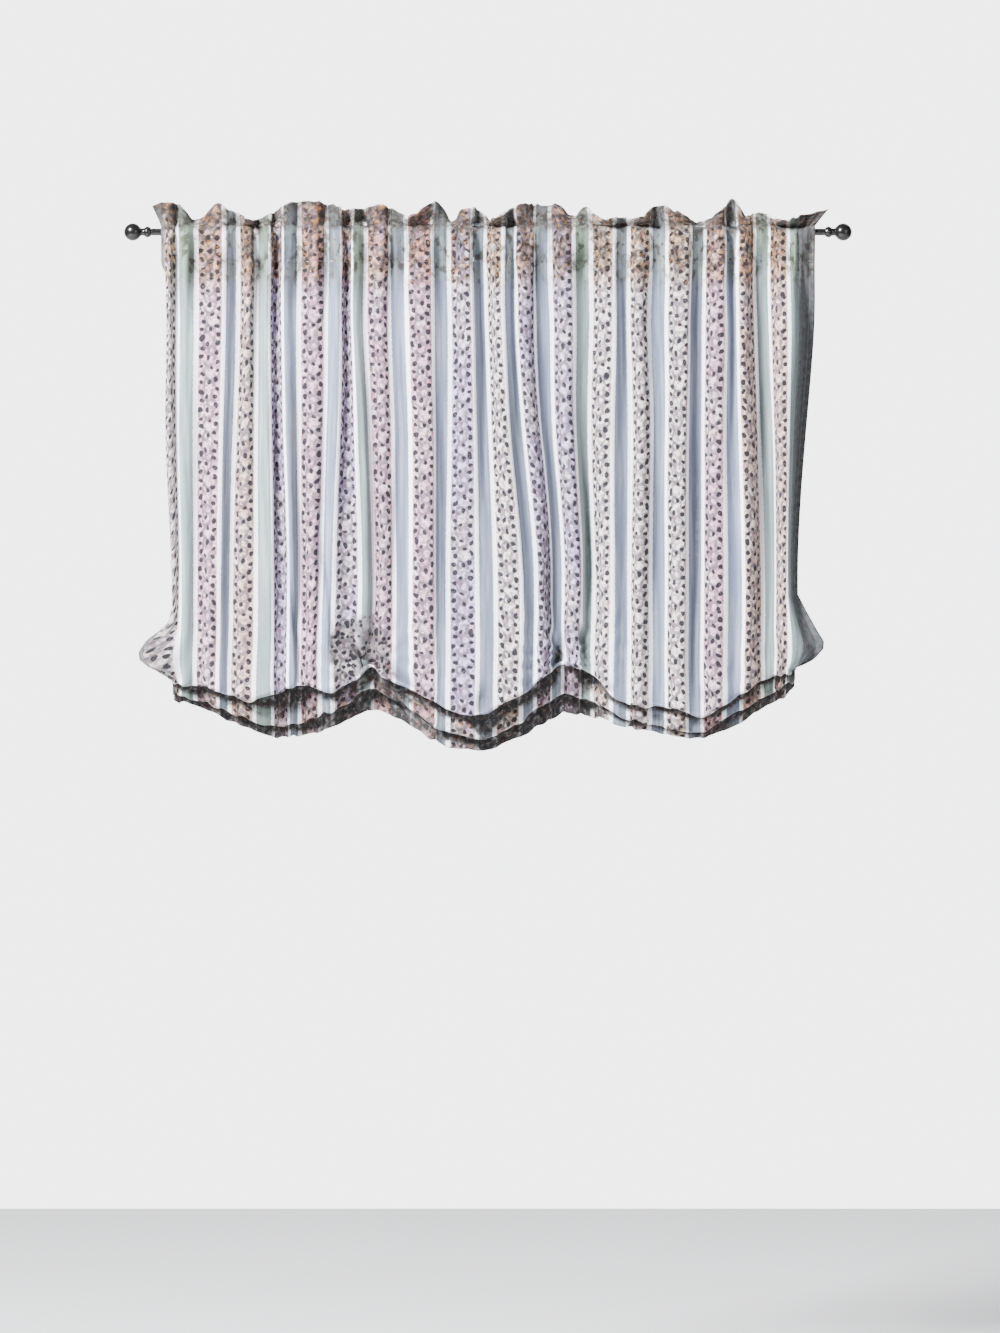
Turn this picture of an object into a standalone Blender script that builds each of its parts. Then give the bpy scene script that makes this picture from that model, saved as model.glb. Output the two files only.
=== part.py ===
"""Window valance on its rod.

One length of striped cloth is gathered on a thin rod through a sewn pocket.
A ruffle stands above the pocket. The cloth is drawn up at two places and at
both side edges, so that its foot hangs in three swags with loose ears.

Metres. +X runs right along the rod, -Y is the front, +Z is up.
The origin is on the rod's centre line at the middle of its length.
"""

import math

import bmesh
import bpy
import numpy as np

MM = 0.001

# Cloth
CLOTH_THICKNESS = 1.8 * MM
FLAT_WIDTH = 1380 * MM
BODY_LENGTH = 862 * MM  # flat, from the pocket's lower seam to the hem's edge
COLUMN_STEP = 16 * MM  # flat width between two columns of points
NARROW_FOLD = 19 * MM  # a fold up to this flat width has points at its ends only

# Pocket, as heights above the rod's centre line
UPPER_SEAM = 10 * MM
LOWER_SEAM = -48 * MM
POCKET_MEAN_Y = -5 * MM  # middle of the folds at the lower seam
UPPER_SEAM_WAVE = 4 * MM
LOWER_SEAM_WAVE = 9 * MM
FRONT_WAVE = 12 * MM  # how far the pocket's front layer swings past the rod
BACK_WAVE = 6 * MM
SEAM_NOTCH = 1.4 * MM  # depth of the crease inside the pocket at each seam

# Both layers of the pocket on their way round the rod.
# height, clear distance from the rod's centre line, share of the swing
POCKET_STAGES = (
    (5.9 * MM, 6.0 * MM, 0.45),
    (-3.0 * MM, 8.2 * MM, 1.0),
)

# Ruffle above the pocket
RUFFLE_ROWS = (1.0, 0.5, 0.0)  # shares of its height, from the top edge down
RUFFLE_WAVE = 9 * MM
RUFFLE_CURL = 1.4  # power of the height by which it leans
RUFFLE_REACH = 40 * MM  # flat width over which its ends flare
LEFT_FLARE = 14 * MM
RIGHT_FLARE = 21 * MM

# Body
FOLD_SHAPE = 0.89  # depth of a smooth fold over that of a sharp one
DEEPEST_FOLD = 36 * MM
FACE_STEEPEST = 1.3  # deepest fold over its run, high on the front face
FOOT_STEEPEST = 0.62  # and at the front fold
ROUNDEST_FOLD = 0.4  # how far a deep fold's points draw towards its crest and valley
SEAM_GATHERS = 0.2  # share of the front face over which small gathers become full folds
SPREAD_START = 0.05  # share of the front face where the folds start to move sideways
SPREAD_END = 0.80
CALM_START = 0.55  # share of the front face below which its folds get shallower
SWAG_START = 14 * MM  # how far forward the highest front fold stands
SWAG_SWELL = 0.40  # further forward, per length that a front fold hangs lower
SWAG_CURVE = 2.0  # power of the height by which the front face comes forward
HIGHEST_FRONT_FOLD = -690 * MM
FACE_SLACK = 1.02  # length of the front face over its height

# Layers stacked behind the front fold
FOLD_RADIUS = 6 * MM
FRONT_TURN = (45, 90, 135, 180)  # degrees round the front fold
UNDER_TURN = (60, 120, 180)  # and round the fold behind it
OVER_TURN = (0, 90, 180)  # and over the top of each hollow
INNER_RADIUS = 5 * MM  # of the turn above the hem's layer
STACK_DEPTH = 44 * MM
STACK_CALM = 0.45  # share of the fold depth that is lost over that depth

# Loose ears at the side edges
EAR_FLAT = 60 * MM  # flat width that takes part in an ear
EAR_CORE = 14 * MM  # flat width of it that stands out in full
EAR_FORWARD = 0.25  # how far forward an ear stands, per length that it stands out

# Rod and finials
ROD_RADIUS = 5.5 * MM
ROD_HALF_LENGTH = 539 * MM
PART_GAP = 0.3 * MM
ROUND_SIDES = 28
BALL_RADIUS = 14 * MM
BALL_CENTRE = 29 * MM  # from the finial's rod end
BALL_RINGS = 9

# Folds from the left edge to the right, in millimetres: a valley, then a crest,
# and so on by turns.
# flat position, x at the pocket, x near the foot
FOLDS = np.array([
    (0, -523, -509),
    (24, -510, -506),
    (52, -498, -493),
    (64, -487, -484),
    (82, -466, -468),
    (121, -427, -436),
    (158, -397, -411),
    (180, -384, -394),
    (203, -368, -371),
    (222, -353, -350),
    (252, -338, -331),
    (282, -323, -314),
    (303, -302, -303),
    (334, -272, -281),
    (350, -257, -268),
    (370, -239, -256),
    (400, -226, -228),
    (430, -213, -200),
    (456, -191, -182),
    (474, -174, -171),
    (506, -150, -141),
    (556, -102, -93),
    (592, -70, -72),
    (640, -29, -22),
    (662, -14, 0),
    (716, 22, 50),
    (742, 40, 70),
    (762, 54, 88),
    (810, 88, 110),
    (853, 125, 139),
    (888, 157, 160),
    (936, 198, 192),
    (966, 222, 221),
    (992, 243, 238),
    (1022, 267, 266),
    (1078, 317, 309),
    (1104, 334, 330),
    (1154, 373, 368),
    (1178, 390, 394),
    (1200, 405, 413),
    (1246, 434, 448),
    (1304, 474, 475),
    (1380, 523, 496),
]) * MM

# Top edge of the ruffle, in millimetres.
# x, height, lean (forward is negative)
RUFFLE = np.array([
    (-523, 42, -4),
    (-506, 46, -3),
    (-490, 38, 6),
    (-474, 20, 18),
    (-460, 24, 12),
    (-434, 42, -3),
    (-416, 35, -8),
    (-400, 26, -16),
    (-381, 17, -20),
    (-368, 20, 8),
    (-333, 37, 4),
    (-306, 48, -2),
    (-285, 47, -4),
    (-250, 42, -2),
    (-221, 32, -14),
    (-211, 35, 8),
    (-179, 40, 2),
    (-154, 37, -8),
    (-133, 22, -20),
    (-101, 37, -4),
    (-86, 46, 2),
    (-69, 31, 10),
    (-58, 17, 20),
    (-42, 33, 2),
    (-18, 35, -6),
    (6, 17, -20),
    (35, 34, -6),
    (67, 43, 0),
    (91, 42, -3),
    (115, 41, 4),
    (136, 26, 16),
    (157, 37, -3),
    (182, 16, -21),
    (203, 22, -12),
    (251, 24, -15),
    (270, 43, 2),
    (294, 34, -8),
    (330, 19, 14),
    (342, 16, 18),
    (374, 34, -4),
    (398, 46, 0),
    (403, 34, 6),
    (435, 31, -8),
    (467, 15, -20),
    (491, 21, -10),
    (523, 38, 2),
]) * MM

# Foot of the cloth, in millimetres: how low its layers hang across the width,
# and how wide the hollow behind the front fold is.
# x, front fold, fold behind it, hem, hollow
FOOT = np.array([
    (-517, -722, -738, -749, 10),
    (-483, -725, -744, -753, 10),
    (-461, -727, -749, -759, 12),
    (-437, -733, -760, -772, 12),
    (-410, -742, -770, -783, 12),
    (-386, -750, -778, -791, 12),
    (-365, -747, -787, -802, 16),
    (-333, -736, -791, -808, 26),
    (-304, -725, -788, -806, 30),
    (-272, -731, -775, -799, 22),
    (-250, -736, -767, -791, 18),
    (-227, -725, -754, -780, 16),
    (-205, -713, -737, -773, 14),
    (-187, -698, -730, -766, 12),
    (-166, -711, -740, -768, 14),
    (-147, -722, -750, -778, 16),
    (-125, -732, -764, -791, 16),
    (-96, -747, -782, -808, 16),
    (-67, -763, -799, -822, 16),
    (-32, -774, -811, -829, 16),
    (-5, -770, -812, -829, 16),
    (19, -759, -804, -820, 20),
    (45, -748, -788, -808, 22),
    (72, -727, -769, -796, 24),
    (99, -705, -750, -782, 20),
    (126, -691, -737, -768, 14),
    (150, -701, -746, -772, 20),
    (176, -719, -757, -777, 20),
    (202, -746, -771, -786, 12),
    (243, -757, -784, -797, 12),
    (283, -760, -793, -804, 12),
    (320, -769, -799, -808, 12),
    (347, -774, -797, -808, 12),
    (374, -757, -781, -799, 16),
    (403, -738, -766, -785, 18),
    (430, -722, -752, -769, 16),
    (456, -711, -736, -753, 14),
    (480, -706, -726, -741, 10),
    (499, -703, -717, -727, 10),
]) * MM

# Rows of points down the front face, as shares of its height.
FACE_ROWS = (0.0, 0.10, 0.36, 0.64, 0.845, 0.93, 0.975, 1.0)

# How far the side edges stand out, in millimetres.
# share of the front face's height, left edge, right edge
EARS = np.array([
    (0.0, 0, 0),
    (0.82, 0, 0),
    (0.86, 5, 13),
    (0.88, 18, 20),
    (0.905, 36, 29),
    (0.935, 49, 41),
    (0.955, 47, 40),
    (0.972, 34, 30),
    (0.985, 16, 20),
    (1.0, -5, -4),
])

# Turned outline of a finial.
# distance from its rod end, radius, in millimetres
FINIAL_NECK = (
    (0.0, 6.6),
    (1.2, 7.4),
    (4.2, 8.8),
    (7.6, 8.8),
    (9.0, 7.6),
    (12.2, 5.9),
    (15.6, 5.9),
)

CLOTH_COLOUR = (0.72, 0.74, 0.79, 1.0)
CLOTH_ROUGHNESS = 0.9
METAL_COLOUR = (0.018, 0.016, 0.015, 1.0)
METAL_ROUGHNESS = 0.28

FOLD_FLAT, FOLD_TOP_X, FOLD_FOOT_X = FOLDS.T
FOLD_SIDE = np.where(np.arange(len(FOLDS)) % 2 == 0, 1.0, -1.0)  # valley +, crest -


def clear_scene():
    """Remove every object."""
    for item in list(bpy.data.objects):
        bpy.data.objects.remove(item, do_unlink=True)


def ease(share):
    """Smooth step from 0 to 1."""
    share = np.clip(share, 0.0, 1.0)
    return share * share * (3.0 - 2.0 * share)


def smooth_curve(stations, values, at):
    """Smooth curve through a table's values."""
    slopes = np.gradient(values, stations)
    at = np.clip(at, stations[0], stations[-1])
    left = np.clip(np.searchsorted(stations, at, side="right") - 1, 0, len(stations) - 2)
    span = stations[left + 1] - stations[left]
    t = (at - stations[left]) / span
    rise = values[left + 1] - values[left]
    bend_left = slopes[left] * span - rise
    bend_right = rise - slopes[left + 1] * span
    return values[left] + t * rise + t * (1 - t) * ((1 - t) * bend_left + t * bend_right)


def make_columns():
    """Fold number, share of that fold and flat position of every column of points."""
    fold = []
    share = []
    for number, width in enumerate(np.diff(FOLD_FLAT)):
        count = max(2, round(width / COLUMN_STEP)) if width > NARROW_FOLD else 1
        for step in range(count):
            fold.append(number)
            share.append(step / count)
    fold.append(len(FOLDS) - 2)
    share.append(1.0)
    fold = np.array(fold)
    share = np.array(share)
    flat = FOLD_FLAT[fold] + share * (FOLD_FLAT[fold + 1] - FOLD_FLAT[fold])
    return fold, share, flat


FOLD, SHARE, FLAT = make_columns()


def column_x(fold_x):
    """x of every column, from the x of each crest and valley."""
    run = fold_x[FOLD + 1] - fold_x[FOLD]
    width = FOLD_FLAT[FOLD + 1] - FOLD_FLAT[FOLD]
    slack = np.clip(width / np.abs(run) - 1.0, 0.0, ROUNDEST_FOLD)
    return fold_x[FOLD] + run * (SHARE + slack * np.sin(2 * math.pi * SHARE) / (2 * math.pi))


def column_wave(half_depth):
    """How far every column stands behind the middle of the folds."""
    reach = FOLD_SIDE * half_depth
    turn = (1.0 - np.cos(math.pi * SHARE)) / 2.0
    return reach[FOLD] + (reach[FOLD + 1] - reach[FOLD]) * turn


def fold_half_depth(fold_x, steepest):
    """Half the depth of each fold: cloth that the width has no room for goes into it."""
    run = np.abs(np.diff(fold_x))
    spare = np.clip(np.diff(FOLD_FLAT) ** 2 - run ** 2, 0.0, None)
    depth = np.minimum(FOLD_SHAPE * np.sqrt(spare), DEEPEST_FOLD)
    depth = np.minimum(depth, steepest * run)
    before = np.concatenate([depth[:1], depth])
    after = np.concatenate([depth, depth[-1:]])
    return (before + after) / 4.0


CREST = (1.0 - column_wave(np.ones(len(FOLDS)))) / 2.0  # 1 on a crest, 0 in a valley
POCKET_X = column_x(FOLD_TOP_X)
FOOT_X = column_x(FOLD_FOOT_X)
FRONT_FOLD = smooth_curve(FOOT[:, 0], FOOT[:, 1], FOOT_X)
UNDER_FOLD = smooth_curve(FOOT[:, 0], FOOT[:, 2], FOOT_X)
HEM = smooth_curve(FOOT[:, 0], FOOT[:, 3], FOOT_X)
HOLLOW = smooth_curve(FOOT[:, 0], FOOT[:, 4], FOOT_X)


def points(x, y, z):
    """Column of points from x, y and z."""
    return np.stack(np.broadcast_arrays(x, y, z), axis=-1)


def ruffle_rows():
    """Middle of the ruffle, from its top edge down to the upper seam."""
    top = smooth_curve(RUFFLE[:, 0], RUFFLE[:, 1], POCKET_X)
    lean = smooth_curve(RUFFLE[:, 0], RUFFLE[:, 2], POCKET_X)
    left = ease(1.0 - FLAT / RUFFLE_REACH)
    right = ease(1.0 - (FLAT_WIDTH - FLAT) / RUFFLE_REACH)
    rows = []
    for share in RUFFLE_ROWS:
        wave = UPPER_SEAM_WAVE + (RUFFLE_WAVE - UPPER_SEAM_WAVE) * share
        x = POCKET_X + share * (RIGHT_FLARE * right - LEFT_FLARE * left)
        y = wave * (1.0 - 2.0 * CREST) + lean * share ** RUFFLE_CURL
        z = UPPER_SEAM + (top - UPPER_SEAM) * share
        rows.append(points(x, y, z))
    return np.array(rows)


def pocket_rows(side, wave):
    """Middle of the pocket's front (side -1) or back (side 1) layer."""
    swing = CREST if side < 0 else 1.0 - CREST
    seam_y = UPPER_SEAM_WAVE * (1.0 - 2.0 * CREST)
    foot_y = POCKET_MEAN_Y + LOWER_SEAM_WAVE * (1.0 - 2.0 * CREST)
    rows = [points(POCKET_X, seam_y + side * CLOTH_THICKNESS / 2, UPPER_SEAM)]
    for height, clear, share in POCKET_STAGES:
        rows.append(points(POCKET_X, side * (clear + share * wave * swing), height))
    rows.append(points(POCKET_X, foot_y + side * CLOTH_THICKNESS / 2, LOWER_SEAM))
    return np.array(rows)


def fold_positions(height_share):
    """x of each crest and valley on a row of the front face, and how far it is in an ear."""
    spread = ease((height_share - SPREAD_START) / (SPREAD_END - SPREAD_START))
    fold_x = FOLD_TOP_X + (FOLD_FOOT_X - FOLD_TOP_X) * spread
    left = ease(1.0 - (FOLD_FLAT - EAR_CORE) / (EAR_FLAT - EAR_CORE))
    right = ease(1.0 - (FLAT_WIDTH - FOLD_FLAT - EAR_CORE) / (EAR_FLAT - EAR_CORE))
    left_reach = left * np.interp(height_share, EARS[:, 0], EARS[:, 1]) * MM
    right_reach = right * np.interp(height_share, EARS[:, 0], EARS[:, 2]) * MM
    return fold_x + right_reach - left_reach, np.clip(left_reach + right_reach, 0.0, None)


def face_wave(height_share, fold_x):
    """How far the columns of a row stand behind the middle of the folds."""
    settled = ease((height_share - CALM_START) / (1.0 - CALM_START))
    steepest = FACE_STEEPEST + (FOOT_STEEPEST - FACE_STEEPEST) * settled
    full = column_wave(fold_half_depth(fold_x, steepest))
    seam = LOWER_SEAM_WAVE * (1.0 - 2.0 * CREST)
    return seam + (full - seam) * ease(height_share / SEAM_GATHERS)


def face_row(height_share):
    """One row of the front face: 0 at the lower seam, 1 at the front fold."""
    fold_x, reach = fold_positions(height_share)
    swell = SWAG_START + SWAG_SWELL * (HIGHEST_FRONT_FOLD - FRONT_FOLD)
    middle = POCKET_MEAN_Y - (POCKET_MEAN_Y + swell) * height_share ** SWAG_CURVE
    ear = np.interp(FLAT, FOLD_FLAT, reach) * EAR_FORWARD
    z = LOWER_SEAM + (FRONT_FOLD + FOLD_RADIUS - LOWER_SEAM) * height_share
    return points(column_x(fold_x), middle + face_wave(height_share, fold_x) - ear, z)


def stack_rows(last_face_row):
    """Layers behind the front fold: up, over, down, under, up, over, down to the hem."""
    face_length = FACE_SLACK * (LOWER_SEAM - FRONT_FOLD)
    rise = (BODY_LENGTH - face_length - (FRONT_FOLD - HEM)) / 4.0
    x, front_y = last_face_row[:, 0], last_face_row[:, 1]
    wave = face_wave(1.0, fold_positions(1.0)[0])
    rows = []
    depth = 0.0

    def add(behind, z):
        rows.append(points(x, front_y + behind - wave * STACK_CALM * behind / STACK_DEPTH, z))

    layers = (
        (FRONT_FOLD, FRONT_TURN, HOLLOW / 2),
        (UNDER_FOLD, UNDER_TURN, INNER_RADIUS),
    )
    for lowest, turns, inner_radius in layers:
        top = lowest + rise
        for turn in turns:
            angle = math.radians(turn)
            behind = depth + FOLD_RADIUS * (1.0 - math.cos(angle))
            add(behind, lowest + FOLD_RADIUS * (1.0 - math.sin(angle)))
        depth = depth + 2 * FOLD_RADIUS
        for turn in OVER_TURN:
            angle = math.radians(turn)
            behind = depth + inner_radius * (1.0 - math.cos(angle))
            add(behind, top - inner_radius * (1.0 - math.sin(angle)))
        depth = depth + 2 * inner_radius
    add(depth, HEM)
    return rows


def body_rows():
    """Middle of the single cloth, from the lower seam to the hem."""
    rows = [face_row(share) for share in FACE_ROWS]
    rows += stack_rows(rows[-1])
    return np.array(rows)


def forward_normals(rows):
    """Unit normals of a grid of points, forward where the cloth runs down."""
    down = np.gradient(rows, axis=0)
    across = np.gradient(rows, axis=1)
    normal = np.cross(down, across)
    return normal / np.linalg.norm(normal, axis=-1, keepdims=True)


def cloth_surfaces():
    """Rows of the outer front, outer back and pocket lining surfaces."""
    half = CLOTH_THICKNESS / 2
    ruffle = ruffle_rows()
    body = body_rows()
    ruffle_out = forward_normals(ruffle) * CLOTH_THICKNESS
    ruffle_out[-1] = (0.0, -CLOTH_THICKNESS, 0.0)
    body_out = forward_normals(body) * half
    body_out[0] *= 2.0
    lining = {}
    outer = {}
    for side, wave in ((-1, FRONT_WAVE), (1, BACK_WAVE)):
        layer = pocket_rows(side, wave)
        out = forward_normals(layer) * half * -side
        outer[side] = (layer + out)[1:-1]
        lining[side] = (layer - out)[1:-1]
    front = np.concatenate([ruffle + ruffle_out, outer[-1], body + body_out])
    back = np.concatenate([ruffle - ruffle_out, outer[1], body - body_out])
    upper = ruffle[-1] - (0.0, 0.0, SEAM_NOTCH)
    lower = body[0] + (0.0, 0.0, SEAM_NOTCH)
    inside_front = np.concatenate([[upper], lining[-1], [lower]])
    inside_back = np.concatenate([[upper], lining[1], [lower]])
    return front, back, inside_front, inside_back, len(ruffle) - 1


def build_cloth():
    """The valance cloth as one closed body with the pocket's hole through it."""
    front, back, inside_front, inside_back, seam = cloth_surfaces()
    mesh = bmesh.new()
    columns = front.shape[1]

    def add_rows(rows):
        return [[mesh.verts.new(point) for point in row] for row in rows]

    front_v = add_rows(front)
    back_v = add_rows(back)
    front_in = add_rows(inside_front)
    back_in = [front_in[0]] + add_rows(inside_back[1:-1]) + [front_in[-1]]

    def skin(upper_row, lower_row):
        for c in range(columns - 1):
            mesh.faces.new((upper_row[c], lower_row[c], lower_row[c + 1], upper_row[c + 1]))

    for rows in (front_v, back_v, front_in, back_in):
        for upper_row, lower_row in zip(rows, rows[1:]):
            skin(upper_row, lower_row)
    skin(front_v[0], back_v[0])
    skin(front_v[-1], back_v[-1])

    pocket = len(inside_front) - 1
    low_seam = seam + pocket
    def edge(outer_row, next_outer_row, next_inner_row, inner_row, c):
        mesh.faces.new((outer_row[c], next_outer_row[c], next_inner_row[c], inner_row[c]))

    for c in (0, columns - 1):
        for r in list(range(seam)) + list(range(low_seam, len(front_v) - 1)):
            edge(front_v[r], front_v[r + 1], back_v[r + 1], back_v[r], c)
        for r in range(pocket):
            edge(front_v[seam + r], front_v[seam + r + 1], front_in[r + 1], front_in[r], c)
            edge(back_v[seam + r], back_v[seam + r + 1], back_in[r + 1], back_in[r], c)
        mesh.faces.new((front_v[seam][c], front_in[0][c], back_v[seam][c]))
        mesh.faces.new((front_v[low_seam][c], front_in[-1][c], back_v[low_seam][c]))
    return finish_mesh(mesh, "valance_cloth")


def turned_body(outline, name, start, direction):
    """Solid turned round the rod's centre line from (distance, radius) pairs."""
    mesh = bmesh.new()
    rings = []
    for distance, radius in outline:
        x = start + direction * distance
        if radius == 0.0:
            rings.append([mesh.verts.new((x, 0.0, 0.0))])
            continue
        ring = []
        for side in range(ROUND_SIDES):
            angle = 2 * math.pi * side / ROUND_SIDES
            ring.append(mesh.verts.new((x, radius * math.cos(angle), radius * math.sin(angle))))
        rings.append(ring)
    for near, far in zip(rings, rings[1:]):
        for side in range(ROUND_SIDES):
            after = (side + 1) % ROUND_SIDES
            corners = [near[side % len(near)], near[after % len(near)]]
            corners += [far[after % len(far)], far[side % len(far)]]
            mesh.faces.new(list(dict.fromkeys(corners)))
    for ring in (rings[0], rings[-1]):
        if len(ring) > 1:
            mesh.faces.new(ring)
    return finish_mesh(mesh, name)


def finial_outline():
    """Neck, collar and ball of a finial."""
    outline = [(distance * MM, radius * MM) for distance, radius in FINIAL_NECK]
    neck_radius = outline[-1][1]
    first = math.asin(neck_radius / BALL_RADIUS)
    for ring in range(1, BALL_RINGS + 1):
        angle = first + (math.pi - first) * ring / BALL_RINGS
        radius = BALL_RADIUS * math.sin(angle)
        outline.append((BALL_CENTRE - BALL_RADIUS * math.cos(angle), radius))
    outline[-1] = (BALL_CENTRE + BALL_RADIUS, 0.0)
    return outline


def finish_mesh(mesh, name):
    """Turn a bmesh into a smooth shaded object with faces out."""
    bmesh.ops.recalc_face_normals(mesh, faces=mesh.faces)
    data = bpy.data.meshes.new(name)
    mesh.to_mesh(data)
    mesh.free()
    for polygon in data.polygons:
        polygon.use_smooth = True
    return bpy.data.objects.new(name, data)


def make_material(name, colour, roughness, metallic):
    """Principled material."""
    material = bpy.data.materials.new(name)
    material.use_nodes = True
    shader = material.node_tree.nodes["Principled BSDF"]
    shader.inputs["Base Color"].default_value = colour
    shader.inputs["Roughness"].default_value = roughness
    shader.inputs["Metallic"].default_value = metallic
    return material


def main():
    clear_scene()
    collection = bpy.data.collections.new("window_valance")
    bpy.context.scene.collection.children.link(collection)
    fabric = make_material("valance_fabric", CLOTH_COLOUR, CLOTH_ROUGHNESS, 0.0)
    metal = make_material("rod_metal", METAL_COLOUR, METAL_ROUGHNESS, 0.0)

    rod_outline = [(0.0, ROD_RADIUS), (2 * ROD_HALF_LENGTH, ROD_RADIUS)]
    finial_start = ROD_HALF_LENGTH + PART_GAP
    pieces = [
        (build_cloth(), fabric),
        (turned_body(rod_outline, "rod", -ROD_HALF_LENGTH, 1), metal),
        (turned_body(finial_outline(), "finial_left", -finial_start, -1), metal),
        (turned_body(finial_outline(), "finial_right", finial_start, 1), metal),
    ]
    for piece, material in pieces:
        piece.data.materials.append(material)
        collection.objects.link(piece)


main()
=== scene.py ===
"""The dressed window valance: printed cotton gathered on a glossy rod.

Metres. +X runs right along the rod, -Y is the front, +Z is up.
The origin is on the rod's centre line at the middle of its length.

The cloth is one thin sheet that follows the folds of its solid. It starts at the back of
the rod pocket, goes up into the ruffle, over its top, and down the front to the hem.
Its flat position is kept in a UV map, so the print runs with the cloth through every fold.
"""

import math
from functools import reduce

import bpy
import numpy as np
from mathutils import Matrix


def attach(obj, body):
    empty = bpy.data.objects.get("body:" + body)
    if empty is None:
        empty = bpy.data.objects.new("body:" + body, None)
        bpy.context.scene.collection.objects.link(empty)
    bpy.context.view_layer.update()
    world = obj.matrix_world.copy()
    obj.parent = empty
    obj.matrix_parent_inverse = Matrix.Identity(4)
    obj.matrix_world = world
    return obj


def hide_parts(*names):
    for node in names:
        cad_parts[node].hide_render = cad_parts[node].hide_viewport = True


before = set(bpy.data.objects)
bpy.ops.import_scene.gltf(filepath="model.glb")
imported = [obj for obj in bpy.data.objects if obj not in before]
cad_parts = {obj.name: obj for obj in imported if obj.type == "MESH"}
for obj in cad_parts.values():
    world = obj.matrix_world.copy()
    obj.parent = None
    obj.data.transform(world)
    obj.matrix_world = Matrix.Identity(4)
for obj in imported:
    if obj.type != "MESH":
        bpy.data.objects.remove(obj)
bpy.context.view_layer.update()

MM = 0.001

# Camera. One pixel of the 1000 x 1333 frame is 1.6 mm at the rod.
PIXEL = 1.6 * MM
FRAME_PIXELS = 1333
VIEW_X = 19.2 * MM
VIEW_Z = -695.2 * MM
VIEW_DISTANCE = 9.0
SENSOR = 36.0  # millimetres
FARTHEST_SEEN = 100.0

# Studio: floor, lights aimed at the cloth, and air that is dim in front and bright behind
FLOOR_SIZE = 7.0
FLOOR_HEIGHT = -1.9
LIGHT_AIM = (0.0, 0.0, -0.4)
# name, place, size, watts, colour
LIGHTS = (
    ("key", (-3.0, -3.2, 2.2), 1.2, 1700.0, (0.95, 0.97, 1.0)),
    ("fill", (3.0, -3.6, 0.2), 2.2, 60.0, (0.92, 0.96, 1.0)),
    ("back", (1.4, 3.2, 1.4), 1.6, 25.0, (0.96, 0.98, 1.0)),
)
AIR_DIM = 0.18
AIR_BRIGHT = 4.5
AIR_RISE = (0.55, 0.93)  # it gets brighter between these places, as parts of the way backwards

# Cloth
FLAT_WIDTH = 1380 * MM
BODY_LENGTH = 862 * MM  # flat, from the pocket's lower seam to the hem's edge
COLUMN_STEP = 3.5 * MM
RUFFLE_FLAT = 36 * MM
POCKET_FLAT = 60 * MM
CROWN_FLAT = 4 * MM  # over the ruffle's top edge
HEM_FLAT = 22 * MM  # turned up behind the hem's edge
SIDE_HEM = 12 * MM
LAYER_GAP = 1.0 * MM  # between a hem and the cloth in front of it

# Pocket, as heights above the rod's centre line
UPPER_SEAM = 10 * MM
LOWER_SEAM = -48 * MM
POCKET_MEAN_Y = -5 * MM
UPPER_SEAM_WAVE = 4 * MM
LOWER_SEAM_WAVE = 9 * MM
FRONT_WAVE = 12 * MM
BACK_WAVE = 6 * MM
SEAM_HALF_GAP = 0.7 * MM  # between the two layers at a seam, to their middle

# Both layers of the pocket on their way round the rod.
# height, clear distance from the rod's centre line, share of the swing
POCKET_STAGES = (
    (5.9 * MM, 6.6 * MM, 0.45),
    (-3.0 * MM, 8.8 * MM, 1.0),
)

# Ruffle above the pocket
RUFFLE_WAVE = 9 * MM
RUFFLE_CURL = 1.4
RUFFLE_REACH = 40 * MM
RUFFLE_PUFF = 1.3 * MM  # how far its two layers part towards the top
PUFF_RISE = 1.6  # they are fully parted at 1 / 1.6 of its height
PUFF_HUMP = (30 * MM, 60 * MM)  # across and along
PUFF_UNEVEN = 0.6
LEFT_FLARE = 14 * MM
RIGHT_FLARE = 21 * MM

# Body
FOLD_SHAPE = 0.89
DEEPEST_FOLD = 36 * MM
FACE_STEEPEST = 1.3
FOOT_STEEPEST = 0.62
ROUNDEST_FOLD = 0.4
SEAM_GATHERS = 0.2
SEAM_CLOSED = 1 / 60  # share of the face below the seam where its two layers become one
SPREAD_START = 0.05
SPREAD_END = 0.80
CALM_START = 0.55
SWAG_START = 14 * MM
SWAG_SWELL = 0.40
SWAG_CURVE = 2.0
HIGHEST_FRONT_FOLD = -690 * MM
FACE_SLACK = 1.02

# Layers stacked behind the front fold
FOLD_RADIUS = 6 * MM
INNER_RADIUS = 5 * MM
STACK_DEPTH = 44 * MM
STACK_CALM = 0.45

# Loose ears at the side edges
EAR_FLAT = 60 * MM
EAR_CORE = 14 * MM
EAR_FORWARD = 0.25
TURNED_BACK = 13 * MM  # strip at the left edge that curls behind, where there is no ear
CURL_GROWS = 0.05  # full from this share of the face's height
CURL_FADES = (0.83, 0.08)  # where it starts to fade and over how much
CURL_RUN = (0.3, 0.95)  # to the right and to the back, for each unit of the strip's width

# Rows of the fine sheet
RUFFLE_ROWS = 10
POCKET_ROWS = 14
FACE_ROWS = 112
LAYER_ROWS = 7  # straight stretch of each layer behind the front fold
TURN_STEP = 20  # degrees
CROWN_TURNS = (30, 60, 90, 120, 150)  # degrees, over the ruffle's top edge
HEM_TURN = (0.5, 1.0)  # rows of the hem's turn, as shares of the gap
HEM_RISE = (0.2, 0.5, 0.8, 1.0)  # rows of the turned-up hem, as shares of its height
HEM_DROP = 0.4 * LAYER_GAP  # the turn hangs below the edge
SIDE_COLUMNS = 3  # of each side edge's turned-in strip
SIDE_EDGE = 0.3 * MM  # flat width of the side edge's turn

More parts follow.
